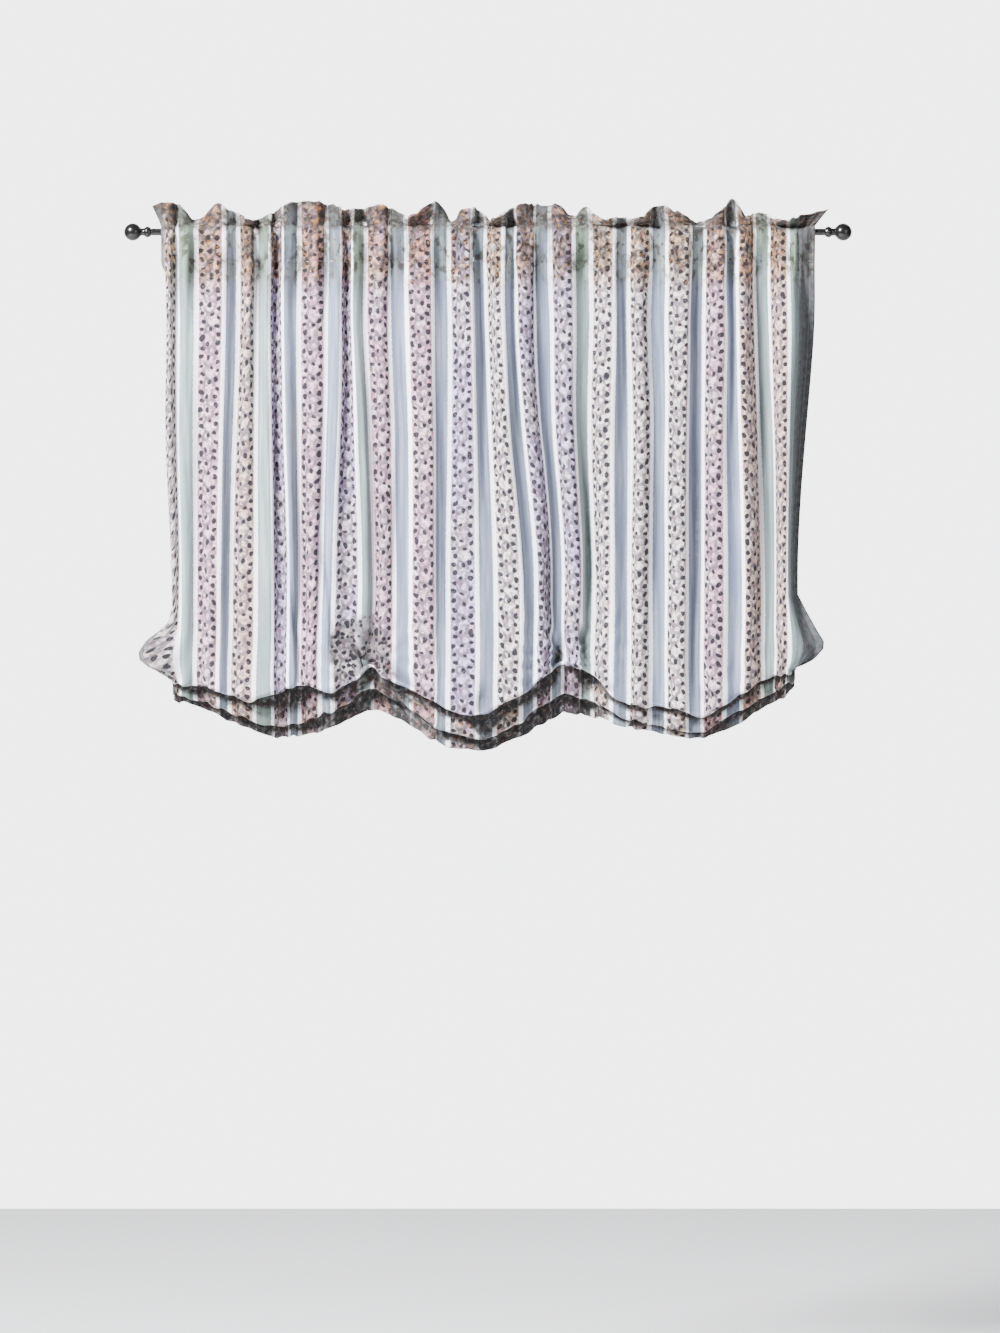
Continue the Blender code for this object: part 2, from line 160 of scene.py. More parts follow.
# Where they are in the sheet: its back layers, crown and front layers, then its body
FIRST_BODY_ROW = 2 * (RUFFLE_ROWS + POCKET_ROWS) + len(CROWN_TURNS) - 3
POCKET_FRONT = slice(FIRST_BODY_ROW - POCKET_ROWS + 2, FIRST_BODY_ROW)
RUFFLE_FRONT = slice(POCKET_FRONT.start - RUFFLE_ROWS, POCKET_FRONT.start)
FACE = slice(FIRST_BODY_ROW, FIRST_BODY_ROW + FACE_ROWS)
SEAM_ALONG = CROWN_FLAT + RUFFLE_FLAT + POCKET_FLAT  # lower seam, along the cloth from its crown

# Folds from the left edge to the right, in millimetres: a valley, then a crest, by turns.
# flat position, x at the pocket, x near the foot
FOLDS = np.array([
    (0, -523, -509),
    (24, -510, -506),
    (52, -498, -493),
    (64, -487, -484),
    (82, -466, -468),
    (121, -427, -436),
    (158, -397, -411),
    (180, -384, -394),
    (203, -368, -371),
    (222, -353, -350),
    (252, -338, -331),
    (282, -323, -314),
    (303, -302, -303),
    (334, -272, -281),
    (350, -257, -268),
    (370, -239, -256),
    (400, -226, -228),
    (430, -213, -200),
    (456, -191, -182),
    (474, -174, -171),
    (506, -150, -141),
    (556, -102, -93),
    (592, -70, -72),
    (640, -29, -22),
    (662, -14, 0),
    (716, 22, 50),
    (742, 40, 70),
    (762, 54, 88),
    (810, 88, 110),
    (853, 125, 139),
    (888, 157, 160),
    (936, 198, 192),
    (966, 222, 221),
    (992, 243, 238),
    (1022, 267, 266),
    (1078, 317, 309),
    (1104, 334, 330),
    (1154, 373, 368),
    (1178, 390, 394),
    (1200, 405, 413),
    (1246, 434, 448),
    (1304, 474, 475),
    (1380, 523, 496),
]) * MM

# Top edge of the ruffle, in millimetres.
# x, height, lean (forward is negative)
RUFFLE = np.array([
    (-523, 42, -4),
    (-506, 46, -3),
    (-490, 38, 6),
    (-474, 20, 18),
    (-460, 24, 12),
    (-434, 42, -3),
    (-416, 35, -8),
    (-400, 26, -16),
    (-381, 17, -20),
    (-368, 20, 8),
    (-333, 37, 4),
    (-306, 48, -2),
    (-285, 47, -4),
    (-250, 42, -2),
    (-221, 32, -14),
    (-211, 35, 8),
    (-179, 40, 2),
    (-154, 37, -8),
    (-133, 22, -20),
    (-101, 37, -4),
    (-86, 46, 2),
    (-69, 31, 10),
    (-58, 17, 20),
    (-42, 33, 2),
    (-18, 35, -6),
    (6, 17, -20),
    (35, 34, -6),
    (67, 43, 0),
    (91, 42, -3),
    (115, 41, 4),
    (136, 26, 16),
    (157, 37, -3),
    (182, 16, -21),
    (203, 22, -12),
    (251, 24, -15),
    (270, 43, 2),
    (294, 34, -8),
    (330, 19, 14),
    (342, 16, 18),
    (374, 34, -4),
    (398, 46, 0),
    (403, 34, 6),
    (435, 31, -8),
    (467, 15, -20),
    (491, 21, -10),
    (523, 38, 2),
]) * MM

# Foot of the cloth, in millimetres.
# x, front fold, fold behind it, hem, hollow
FOOT = np.array([
    (-517, -722, -738, -749, 10),
    (-483, -725, -744, -753, 10),
    (-461, -727, -749, -759, 12),
    (-437, -733, -760, -772, 12),
    (-410, -742, -770, -783, 12),
    (-386, -750, -778, -791, 12),
    (-365, -747, -787, -802, 16),
    (-333, -736, -791, -808, 26),
    (-304, -725, -788, -806, 30),
    (-272, -731, -775, -799, 22),
    (-250, -736, -767, -791, 18),
    (-227, -725, -754, -780, 16),
    (-205, -713, -737, -773, 14),
    (-187, -698, -730, -766, 12),
    (-166, -711, -740, -768, 14),
    (-147, -722, -750, -778, 16),
    (-125, -732, -764, -791, 16),
    (-96, -747, -782, -808, 16),
    (-67, -763, -799, -822, 16),
    (-32, -774, -811, -829, 16),
    (-5, -770, -812, -829, 16),
    (19, -759, -804, -820, 20),
    (45, -748, -788, -808, 22),
    (72, -727, -769, -796, 24),
    (99, -705, -750, -782, 20),
    (126, -691, -737, -768, 14),
    (150, -701, -746, -772, 20),
    (176, -719, -757, -777, 20),
    (202, -746, -771, -786, 12),
    (243, -757, -784, -797, 12),
    (283, -760, -793, -804, 12),
    (320, -769, -799, -808, 12),
    (347, -774, -797, -808, 12),
    (374, -757, -781, -799, 16),
    (403, -738, -766, -785, 18),
    (430, -722, -752, -769, 16),
    (456, -711, -736, -753, 14),
    (480, -706, -726, -741, 10),
    (499, -703, -717, -727, 10),
]) * MM

# How far the side edges stand out, in millimetres.
# share of the front face's height, left edge, right edge
EARS = np.array([
    (0.0, 0, 0),
    (0.82, 0, 0),
    (0.86, 5, 13),
    (0.88, 18, 20),
    (0.905, 36, 29),
    (0.935, 49, 41),
    (0.955, 47, 40),
    (0.972, 34, 30),
    (0.985, 16, 20),
    (1.0, -5, -4),
])

# Small unevenness of the cloth, raised along its face.
# across, along (size of one hump on the flat cloth), height, place
UNEVENNESS = (
    (36 * MM, 260 * MM, 2.0 * MM, "body"),
    (17 * MM, 110 * MM, 0.8 * MM, "body"),
    (24 * MM, 30 * MM, 2.2 * MM, "foot"),
    (7.5 * MM, 90 * MM, 2.0 * MM, "gathers"),
    (12 * MM, 60 * MM, 1.5 * MM, "gathers"),
)
GATHER_FADE = 46 * MM  # flat length over which the seam's gathers die away
SLACK_GROWS = 150 * MM  # flat length below the seam over which the body's unevenness grows
SLACK_LEFT = 0.5  # what is left of it at the front fold
SLACK_FADES = (0.9, 0.1)  # where it starts to fade and over how much, as shares of the face's height
CRUMPLE_GROWS = (0.86, 0.14)  # where the foot's unevenness starts, in the same way
SWAY = 3.2 * MM  # how far the face's folds wander sideways
SWAY_HUMP = (90 * MM, 230 * MM)  # across and along
SWAY_GROWS = 120 * MM
SWAY_FADES = (0.84, 0.14)
FIRST_FREE_ROW = 2  # the back edge's first rows stay in place

# Shadowed cloth at the foot, in millimetres: how far it is dark below each fold in front.
# x, below the front fold, below the fold behind it
FOOT_SHADE = np.array([
    (-517, 6, 9),
    (-483, 10, 9),
    (-461, 22, 10),
    (-437, 13, 13),
    (-410, 13, 14),
    (-386, 13, 14),
    (-365, 16, 12),
    (-333, 30, 12),
    (-304, 36, 12),
    (-272, 8, 22),
    (-250, 12, 26),
    (-227, 13, 28),
    (-205, 26, 34),
    (-187, 24, 26),
    (-166, 26, 12),
    (-147, 44, 28),
    (-125, 22, 24),
    (-96, 16, 20),
    (-67, 13, 18),
    (-32, 12, 13),
    (-5, 44, 20),
    (19, 28, 20),
    (45, 19, 22),
    (72, 23, 28),
    (99, 27, 30),
    (109, 27, 29),
    (116, 7, 26),
    (127, 5, 22),
    (138, 8, 22),
    (144, 26, 22),
    (150, 32, 22),
    (176, 12, 14),
    (202, 8, 6),
    (243, 6, 6),
    (283, 6, 4),
    (320, 6, 4),
    (347, 6, 6),
    (374, 11, 14),
    (403, 12, 14),
    (430, 12, 14),
    (456, 10, 12),
    (480, 8, 10),
    (499, 7, 10),
]) * MM
DEEPEST_SHADE = 0.8
LAYER_SHADE = 0.12  # on all of the layers behind the front fold
ABOVE_FOLD = 12 * MM  # above a fold the cloth behind it gets lighter again within this height
VALLEY_SHADE = 0.17
VALLEY_WIDTH = 0.34  # share of a fold's depth
RUFFLE_SHADE = 0.22
GATHER_SHADE = 0.5  # of the small gathers at both seams of the pocket
GATHER_REACH = 24 * MM
GATHER_EDGE = (-0.1, 0.5)  # noise at which a gather starts to get dark, and over how much
# Noise of the gathers. across, along (size of one hump), share, seed
GATHERS = (
    (8 * MM, 26 * MM, 0.6, 31),
    (15 * MM, 60 * MM, 0.4, 32),
)
SHELF_SHADE = 0.38  # where the pocket bulges out over the rod
SHELF_PLACE = 4 * MM  # below the upper seam
SHELF_REACH = 8 * MM
SHADED_DEPTH = 14 * MM  # a fold this deep has its full shade
SHADE_POWER = 1.6
SHADE_FADE = (0.75, 0.4)  # where the foot's shade starts to end and how fast, as shares of its reach
WARM_FADE = (0.01, 0.07)  # the heading's warm print fades out here, as shares of the face's height
WARM_FOOT = 0.6  # how warm the print is on the layers behind the front fold

# Main creases of the front, placed one by one, in millimetres.
# x, z, half width, half height, lean to the right in degrees, depth, shade
CREASES = (
    # curls and pinches of the ruffle and pocket
    (-516, 22, 5, 10, 0, 2, 0.4),
    (-442, 16, 7, 14, 10, 2, 0.4),
    (-384, -24, 7, 22, 20, 3, 0.7),
    (-364, 14, 10, 8, 60, 3, 0.85),
    (-326, 27, 22, 8, -40, 3, 0.6),
    (-222, 12, 7, 16, -10, 3, 0.7),
    (-198, 20, 7, 14, -25, 3, 0.85),
    (-166, 28, 14, 7, 0, 2, 0.45),
    (-122, -6, 6, 34, 12, 3, 0.7),
    (-88, 24, 8, 12, 15, 3, 0.6),
    (-49, -6, 5, 34, -5, 3, 0.75),
    (-18, 10, 10, 16, 30, 3, 0.7),
    (30, 22, 8, 12, 0, 3, 0.75),
    (64, 32, 12, 9, 40, 2, 0.45),
    (60, -20, 7, 26, -12, 2, 0.5),
    (119, -16, 4, 30, 0, 2, 0.5),
    (150, 22, 7, 12, 0, 3, 0.8),
    (182, -4, 10, 7, 0, 3, 0.6),
    (184, -34, 6, 12, 0, 2, 0.6),
    (243, 8, 8, 9, 0, 2, 0.4),
    (272, 24, 6, 16, 5, 3, 0.7),
    (338, 6, 6, 20, -10, 3, 0.65),
    (366, 28, 24, 9, -35, 2, 0.6),
    (392, 8, 7, 13, 0, 3, 0.6),
    (417, -30, 6, 16, 8, 3, 0.7),
    (470, 8, 7, 12, 0, 2, 0.5),
    (516, 22, 24, 10, -30, 2, 0.8),
    # long folds of the face
    (-466, -330, 4, 150, 0, 3, 0.3),
    (-340, -420, 3, 150, 1, 2, 0.25),
    (-312, -610, 4, 90, -5, 3, 0.45),
    (-256, -600, 4, 100, -8, 3, 0.35),
    (-208, -420, 4, 170, 0, 3, 0.3),
    (-150, -470, 4, 150, 2, 3, 0.3),
    (-70, -500, 4, 140, -1, 3, 0.3),
    (46, -360, 9, 170, -4, 3, 0.35),
    (92, -560, 13, 95, -3, 3, 0.45),
    (158, -480, 4, 170, 0, 3, 0.3),
    (268, -450, 4, 190, 0, 3, 0.3),
    (334, -470, 5, 170, 1, 3, 0.35),
    (434, -400, 4, 200, 0, 3, 0.3),
    (508, -160, 15, 150, 2, 1, 0.22),
    (500, -430, 12, 190, 2, 1, 0.3),
    (522, -668, 22, 34, 20, 1, 0.25),
    (-540, -668, 32, 30, 0, 1, 0.3),
    (-516, -712, 20, 8, 30, 2, 0.4),
    # bunched cloth over both ties, and crumples of the foot
    (-206, -676, 24, 8, 42, 8, 0.85),
    (-246, -660, 14, 30, 12, 4, 0.35),
    (-192, -640, 24, 30, 0, 1, 0.24),
    (-152, -702, 15, 9, 45, 4, 0.5),
    (-118, -728, 30, 8, 32, 3, 0.4),
    (-10, -748, 7, 26, 8, 4, 0.5),
    (113, -676, 5, 26, 6, 5, 0.8),
    (150, -650, 5, 40, -14, 4, 0.5),
    (192, -726, 14, 7, 40, 3, 0.4),
    (-436, -640, 5, 60, 0, 4, 0.4),
    (-492, -690, 8, 30, 10, 4, 0.3),
    (352, -740, 12, 9, 30, 3, 0.4),
    (470, -690, 8, 34, -12, 4, 0.35),
)
ROD_CLEARANCE = 6.7 * MM

# Unevenness of the foot's folds and of the ruffle's edge: width of one hump, height
FOOT_CRUMPLE = 15 * MM
FOOT_JAGGED = 2.8 * MM
RUFFLE_CRUMPLE = 8 * MM
RUFFLE_JAGGED = 2.2 * MM

# Points where the foot is drawn up: creases fan out above each of them.
# x, height, depth of the pinch, creases in a full turn
TIES = (
    (-187 * MM, -694 * MM, 7 * MM, 15),
    (126 * MM, -690 * MM, 8 * MM, 17),
)
TIE_REACH = 95 * MM
TIE_PINCH = 22 * MM
TIE_CORE = 25 * MM  # the creases start this far from the point
TIE_GROWS = (0.6, 0.2)  # where they start and over how much, as shares of the face's height
CREASE_HEIGHT = 2.4 * MM
# Cloth bunched over the left tie, where only floral print shows: x, z, half width, half height
BUNCHED = (-206 * MM, -672 * MM, 62 * MM, 78 * MM)
BUNCHED_FADE = (0.5, 0.5)  # where it starts to fade and over how much, as shares of that size

# Finial: outline turned round the rod's centre line.
# distance from its rod end, radius, in millimetres
FINIAL_NECK = (
    (0.0, 6.0),
    (0.5, 6.9),
    (1.4, 7.4),
    (2.2, 7.6),
    (3.0, 8.3),
    (4.2, 8.8),
    (7.2, 8.8),
    (8.2, 8.3),
    (9.0, 7.4),
    (10.2, 6.6),
    (12.2, 5.9),
    (14.2, 5.7),
    (15.6, 5.9),
    (16.2, 6.6),
)
ROD_HALF_LENGTH = 539 * MM
PART_GAP = 0.3 * MM
BALL_RADIUS = 14 * MM
BALL_CENTRE = 29 * MM
BALL_RINGS = 22
TURNED_SIDES = 72
SHARP_EDGE = 40  # degrees

# Print, in millimetres on the flat cloth
STRIPE_REPEAT = 74.0
FIRST_FLORAL = 30.0  # middle of the first floral band, from the left edge
FLORAL_HALF = 19.0
BLUE_HALF = 11.0
EDGE_BLUR = 0.7  # half of a printed edge's softness
EDGE_UNEVEN = 2.6
VINE_REPEAT = 84.0
VINE_DROP = 31.0  # from each floral band to the next
VINE_SWAY = (7.0, 13.0, 0.0)
LEFT_BORDER = 13.0
RIGHT_BORDER = 44.0  # the right edge is cut within a plain stripe
BORDER_LINES = 13.0
STITCH_PITCH = 3.2
STITCH_INSET = 1.5  # from a hem's inner edge
GROOVE_HALF = 3.0
WEAVE_PITCH = 0.55

# One repeat of the vine, which winds between two rows of berries.
# across, along, radius
BERRIES = (
    (-12.5, 0, 4.3),
    (-14.0, 14, 3.7),
    (-11.5, 27, 4.2),
    (-13.5, 41, 3.9),
    (-12.0, -14, 3.8),
    (-14.5, -28, 4.3),
    (12.0, -8, 4.3),
    (14.0, 6, 3.8),
    (11.5, 20, 4.2),
    (13.5, 34, 3.7),
    (12.5, -22, 4.0),
    (14.0, -36, 4.2),
    (1.5, 14, 3.9),
    (-3.5, -7, 3.5),
    (-2.0, -30, 3.9),
    (3.0, 38, 3.7),
)
# Stems. across, along, radius, line, form, ink
RINGS = (
    (-2.0, -3, 9.4, 5.4, "lower half", "vine"),
    (2.5, 26, 8.8, 5.4, "lower half", "vine"),
    (3.5, -19, 6.8, 4.8, "whole", "vine"),
    (-3.0, 15, 5.6, 3.8, "whole", "leaf"),
    (-1.0, -34, 8.0, 5.0, "lower half", "vine"),
)
# across, along, half length, half width, turn in degrees, ink
LEAVES = (
    (-8.5, 9, 8.0, 2.7, 14, "vine"),
    (8.0, 14, 7.4, 2.6, -16, "vine"),
    (-8.5, -21, 7.6, 2.6, -20, "vine"),
    (-8.0, 33, 7.0, 2.6, 18, "vine"),
    (8.5, -29, 6.6, 2.6, 24, "vine"),
    (6.5, 0, 5.6, 2.6, 30, "leaf"),
    (-4.5, 40, 5.6, 2.6, -40, "leaf"),
    (-5.5, -14, 5.4, 2.6, -60, "rose"),
    (2.0, -41, 5.6, 2.6, -15, "rose"),
    (-16.5, 7, 5.0, 2.2, 5, "rose"),
    (16.5, -1, 5.0, 2.2, -5, "rose"),
    (16.0, 27, 4.8, 2.2, 10, "leaf"),
    (-16.0, -35, 5.0, 2.2, -8, "leaf"),
)

# Colours, as screen values from 0 to 255
COLOURS = {
    "white": (246, 246, 250),
    "blue": (110, 117, 137),
    "sage": (116, 130, 130),
    "cream": (204, 190, 184),
    "pink": (190, 142, 160),
    "lilac": (164, 146, 182),
    "sand": (190, 156, 138),
    "dark": (22, 18, 26),
    "vine": (78, 70, 82),
    "leaf": (88, 88, 76),
    "rose": (140, 82, 98),
    "haze": (96, 84, 98),
    "gold": (188, 134, 82),
    "selvedge": (106, 113, 111),
    "thread": (196, 194, 196),
    # the next three colours are painted shade: the deepest shaded cloth, with its lighter patches of
    # painted light and its orange patches
    "shadow": (84, 84, 90),
    "glow": (190, 178, 168),
    "shaded_orange": (150, 92, 74),
    "khaki": (94, 85, 74),
}
PAINT = (0.006, 0.0055, 0.0055, 1.0)  # of the rod, as linear colour
WORN_PAINT = (0.05, 0.044, 0.039, 1.0)
FLOOR = (0.80, 0.80, 0.81, 1.0)
AIR = (0.98, 0.99, 1.0, 1.0)

# Ground of each floral band, from the left: partly print and partly painted light, as their differences
# also stand in for how each band is lit
GROUNDS = (
    "cream", "pink", "sand", "lilac", "pink", "lilac", "pink", "pink", "lilac", "cream",
    "lilac", "lilac", "cream", "cream", "cream", "pink", "sand", "sand", "lilac",
)
# Each blue band, from the left
BLUES = (
    "sage", "blue", "sage", "blue", "blue", "sage", "blue", "blue", "blue", "blue",
    "blue", "sage", "blue", "blue", "blue", "blue", "sage", "sage", "sage",
)

# Uneven colour and worn print, and patches of painted light and shade, as noise over the flat cloth.
# cells in a millimetre, detail, none below, full above, cells along for each one across
PATCHES = {
    "cream": (0.014, 2.0, 0.5, 0.66, 0.5),
    "mottle": (0.05, 4.0, 0.35, 0.75, 1.0),
    "foliage": (0.13, 2.0, 0.47, 0.58, 1.0),
    # lighter streaks along the blue bands: painted light of their small folds
    "lit_fold_streaks": (0.16, 2.0, 0.4, 0.7, 0.04),
    "handled": (0.03, 3.0, 0.3, 0.5, 1.0),
    "gilt": (0.11, 2.0, 0.54, 0.64, 1.0),
    # patches of the ruffle's painted shade
    "ruffle_shade_patches": (0.07, 3.0, 0.4, 0.62, 1.0),
    # the next three are patches of painted light and painted shade in the deepest shade
    "caught": (0.1, 4.0, 0.5, 0.6, 1.0),
    "glow": (0.13, 3.0, 0.44, 0.6, 1.0),
    "shaded_orange": (0.1, 2.0, 0.56, 0.62, 1.0),
}
SHADED_ORANGE_SHIFT = (300.0, 0.0, 0.0)  # so that these patches aren't those of the caught light
# Small dark dots: dots in a millimetre, none beyond, full within
FLECKS = (0.24, 0.34, 0.2)
BLOTS = (0.105, 0.42, 0.3)
# The vine's inks in printing order, with how well each one covers
INKS = (("leaf", 0.8), ("rose", 0.7), ("vine", 0.72), ("dark", 0.98))
# What is left of a colour's red, green and blue: worn print for the first two, painted shade of the
# ruffle and of its curls for the last two
TANNED = (0.72, 0.60, 0.46)
GREENED = (0.80, 0.84, 0.66)
RUFFLE_SHADE_TINT = (0.78, 0.75, 0.70)
CURL_SHADE_TINT = (0.38, 0.33, 0.28)

FOLD_FLAT, FOLD_TOP_X, FOLD_FOOT_X = FOLDS.T
RUFFLE_X, RUFFLE_TOP, RUFFLE_LEAN = RUFFLE.T
FOOT_STATION, FRONT_FOLD_Z, UNDER_FOLD_Z, HEM_Z, HOLLOW_DEPTH = FOOT.T
EAR_SHARE, LEFT_EAR, RIGHT_EAR = EARS.T
SHADE_STATION, FRONT_SHADE_REACH, UNDER_SHADE_REACH = FOOT_SHADE.T
CREASE_DEPTH, CREASE_SHADE = 5, 6  # columns of CREASES
FOLD_SIDE = np.where(np.arange(len(FOLDS)) % 2 == 0, 1.0, -1.0)


def add_object(name, data):
    """A new object in the scene."""
    piece = bpy.data.objects.new(name, data)
    bpy.context.scene.collection.objects.link(piece)
    return piece


# ---------------------------------------------------------------- folds


def ease(share):
    """Smooth step from 0 to 1."""
    share = np.clip(share, 0.0, 1.0)
    return share * share * (3.0 - 2.0 * share)


def smooth_curve(stations, values, at):
    """Smooth curve through a table's values."""
    slopes = np.gradient(values, stations)
    at = np.clip(at, stations[0], stations[-1])
    left = np.clip(np.searchsorted(stations, at, side="right") - 1, 0, len(stations) - 2)
    span = stations[left + 1] - stations[left]
    t = (at - stations[left]) / span
    change = values[left + 1] - values[left]
    bend_left = slopes[left] * span - change
    bend_right = change - slopes[left + 1] * span
    return values[left] + t * change + t * (1 - t) * ((1 - t) * bend_left + t * bend_right)


def make_columns():
    """Fold number, share of that fold and flat position of every column of points."""
    widths = np.diff(FOLD_FLAT)
    counts = np.maximum(3, np.round(widths / COLUMN_STEP)).astype(int)
    fold = np.append(np.repeat(np.arange(len(widths)), counts), len(widths) - 1)
    share = np.append(np.concatenate([np.arange(count) / count for count in counts]), 1.0)
    return fold, share, FOLD_FLAT[fold] + share * widths[fold]


FOLD, SHARE, FLAT = make_columns()


def column_x(fold_x):
    """x of every column, from the x of each crest and valley."""
    run = fold_x[FOLD + 1] - fold_x[FOLD]
    width = FOLD_FLAT[FOLD + 1] - FOLD_FLAT[FOLD]
    slack = np.clip(width / np.abs(run) - 1.0, 0.0, ROUNDEST_FOLD)
    return fold_x[FOLD] + run * (SHARE + slack * np.sin(2 * math.pi * SHARE) / (2 * math.pi))


def column_wave(half_depth):
    """How far every column stands behind the middle of the folds."""
    reach = FOLD_SIDE * half_depth
    turn = (1.0 - np.cos(math.pi * SHARE)) / 2.0
    return reach[FOLD] + (reach[FOLD + 1] - reach[FOLD]) * turn


def fold_half_depth(fold_x, steepest):
    """Half the depth of each fold: cloth that the width has no room for goes into it."""
    run = np.abs(np.diff(fold_x))
    spare = np.clip(np.diff(FOLD_FLAT) ** 2 - run ** 2, 0.0, None)
    depth = np.minimum(FOLD_SHAPE * np.sqrt(spare), DEEPEST_FOLD)
    depth = np.minimum(depth, steepest * run)
    before = np.concatenate([depth[:1], depth])
    after = np.concatenate([depth, depth[-1:]])
    return (before + after) / 4.0


CREST = (1.0 - column_wave(np.ones(len(FOLDS)))) / 2.0
POCKET_X = column_x(FOLD_TOP_X)
FOOT_X = column_x(FOLD_FOOT_X)
HOLLOW = smooth_curve(FOOT_STATION, HOLLOW_DEPTH, FOOT_X)


def points(x, y, z):
    """Row of points from x, y and z."""
    return np.stack(np.broadcast_arrays(x, y, z), axis=-1)


def rise(value, start, length):
    """0 up to start, then a smooth step to 1 over length."""
    return ease((value - start) / length)


def soft_noise(along, cell_across, cell_along, seed):
    """Smooth unevenness from -1 to 1 over the flat cloth."""
    x = np.broadcast_to(FLAT, along.shape) / cell_across
    y = (along - along.min()) / cell_along
    shape = (int(x.max()) + 2, int(y.max()) + 2)
    lattice = np.random.default_rng(seed).uniform(-1.0, 1.0, shape)
    i, j = x.astype(int), y.astype(int)
    fx, fy = ease(x - i), ease(y - j)
    near = lattice[i, j] * (1 - fx) + lattice[i + 1, j] * fx
    far = lattice[i, j + 1] * (1 - fx) + lattice[i + 1, j + 1] * fx
    return near * (1 - fy) + far * fy


def foot_line(heights, seed):
    """How low a fold or the hem hangs in every column, a little uneven."""
    uneven = soft_noise(np.zeros_like(FLAT), FOOT_CRUMPLE, 1.0, seed) * FOOT_JAGGED
    return smooth_curve(FOOT_STATION, heights, FOOT_X) + uneven


FRONT_FOLD = foot_line(FRONT_FOLD_Z, 5)
UNDER_FOLD = foot_line(UNDER_FOLD_Z, 6)
HEM = foot_line(HEM_Z, 7)


def unit(vectors):
    """The same directions with length 1."""
    return vectors / np.maximum(np.linalg.norm(vectors, axis=-1, keepdims=True), 1e-9)


def printed_normals(rows):
    """Unit normals of a grid of points, on the printed side."""
    down = np.gradient(rows, axis=0)
    across = np.gradient(rows, axis=1)
    return unit(np.cross(down, across))


# ---------------------------------------------------------------- sheet, from its back edge to the hem


def ruffle_middle():
    """Middle of the ruffle, from the upper seam up to its top edge."""
    top = smooth_curve(RUFFLE_X, RUFFLE_TOP, POCKET_X)
    top = top + soft_noise(np.zeros_like(FLAT), RUFFLE_CRUMPLE, 1.0, 8) * RUFFLE_JAGGED
    lean = smooth_curve(RUFFLE_X, RUFFLE_LEAN, POCKET_X)
    left = ease(1.0 - FLAT / RUFFLE_REACH)
    right = ease(1.0 - (FLAT_WIDTH - FLAT) / RUFFLE_REACH)
    rows = []
    for share in np.linspace(0.0, 1.0, RUFFLE_ROWS):
        wave = UPPER_SEAM_WAVE + (RUFFLE_WAVE - UPPER_SEAM_WAVE) * share
        x = POCKET_X + share * (RIGHT_FLARE * right - LEFT_FLARE * left)
        y = wave * (1.0 - 2.0 * CREST) + lean * share ** RUFFLE_CURL
        z = UPPER_SEAM + (top - UPPER_SEAM) * share
        rows.append(points(x, y, z))
    return np.array(rows)


def pocket_layer(side, wave):
    """Pocket's front (side -1) or back (side 1) layer, from the upper seam down."""
    swing = CREST if side < 0 else 1.0 - CREST
    knots_z = [UPPER_SEAM]
    knots_y = [UPPER_SEAM_WAVE * (1.0 - 2.0 * CREST) + side * SEAM_HALF_GAP]
    for height, clear, share in POCKET_STAGES:
        knots_z.append(height)
        knots_y.append(side * (clear + share * wave * swing))
    knots_z.append(LOWER_SEAM)
    knots_y.append(POCKET_MEAN_Y + LOWER_SEAM_WAVE * (1.0 - 2.0 * CREST) + side * SEAM_HALF_GAP)
    rows = []
    for z in np.linspace(UPPER_SEAM, LOWER_SEAM, POCKET_ROWS):
        left = min(int(np.searchsorted(-np.array(knots_z), -z, side="right")) - 1, len(knots_z) - 2)
        share = (knots_z[left] - z) / (knots_z[left] - knots_z[left + 1])
        share = 1.0 - (1.0 - share) ** 2 if left == 0 else share
        y = knots_y[left] + (knots_y[left + 1] - knots_y[left]) * share
        rows.append(points(POCKET_X, y, z))
    return np.array(rows)


def fold_positions(height_share):
    """x of each crest and valley on a row of the front face, and how far it is in an ear."""
    spread = ease((height_share - SPREAD_START) / (SPREAD_END - SPREAD_START))
    fold_x = FOLD_TOP_X + (FOLD_FOOT_X - FOLD_TOP_X) * spread
    left = ease(1.0 - (FOLD_FLAT - EAR_CORE) / (EAR_FLAT - EAR_CORE))
    right = ease(1.0 - (FLAT_WIDTH - FOLD_FLAT - EAR_CORE) / (EAR_FLAT - EAR_CORE))
    left_reach = left * np.interp(height_share, EAR_SHARE, LEFT_EAR) * MM
    right_reach = right * np.interp(height_share, EAR_SHARE, RIGHT_EAR) * MM
    return fold_x + right_reach - left_reach, np.clip(left_reach + right_reach, 0.0, None)


def face_wave(height_share, fold_x):
    """How far the columns of a row stand behind the middle of the folds."""
    settled = ease((height_share - CALM_START) / (1.0 - CALM_START))
    steepest = FACE_STEEPEST + (FOOT_STEEPEST - FACE_STEEPEST) * settled
    full = column_wave(fold_half_depth(fold_x, steepest))
    seam = LOWER_SEAM_WAVE * (1.0 - 2.0 * CREST)
    return seam + (full - seam) * ease(height_share / SEAM_GATHERS)


def face_row(height_share):
    """One row of the front face: 0 at the lower seam, 1 at the front fold."""
    fold_x, reach = fold_positions(height_share)
    swell = SWAG_START + SWAG_SWELL * (HIGHEST_FRONT_FOLD - FRONT_FOLD)
    middle = POCKET_MEAN_Y - (POCKET_MEAN_Y + swell) * height_share ** SWAG_CURVE
    ear = np.interp(FLAT, FOLD_FLAT, reach) * EAR_FORWARD
    z = LOWER_SEAM + (FRONT_FOLD + FOLD_RADIUS - LOWER_SEAM) * height_share
    y = middle + face_wave(height_share, fold_x) - ear
    y = y - SEAM_HALF_GAP * (1.0 - ease(height_share / SEAM_CLOSED))
    x = column_x(fold_x)
    curl = ease(height_share / CURL_GROWS) * (1.0 - rise(height_share, *CURL_FADES))
    first = int(np.searchsorted(FLAT, TURNED_BACK))
    for place, run in zip((x, y), CURL_RUN):
        place[:first] += curl * (place[first] + run * (FLAT[first] - FLAT[:first]) - place[:first])
    return points(x, y, z)


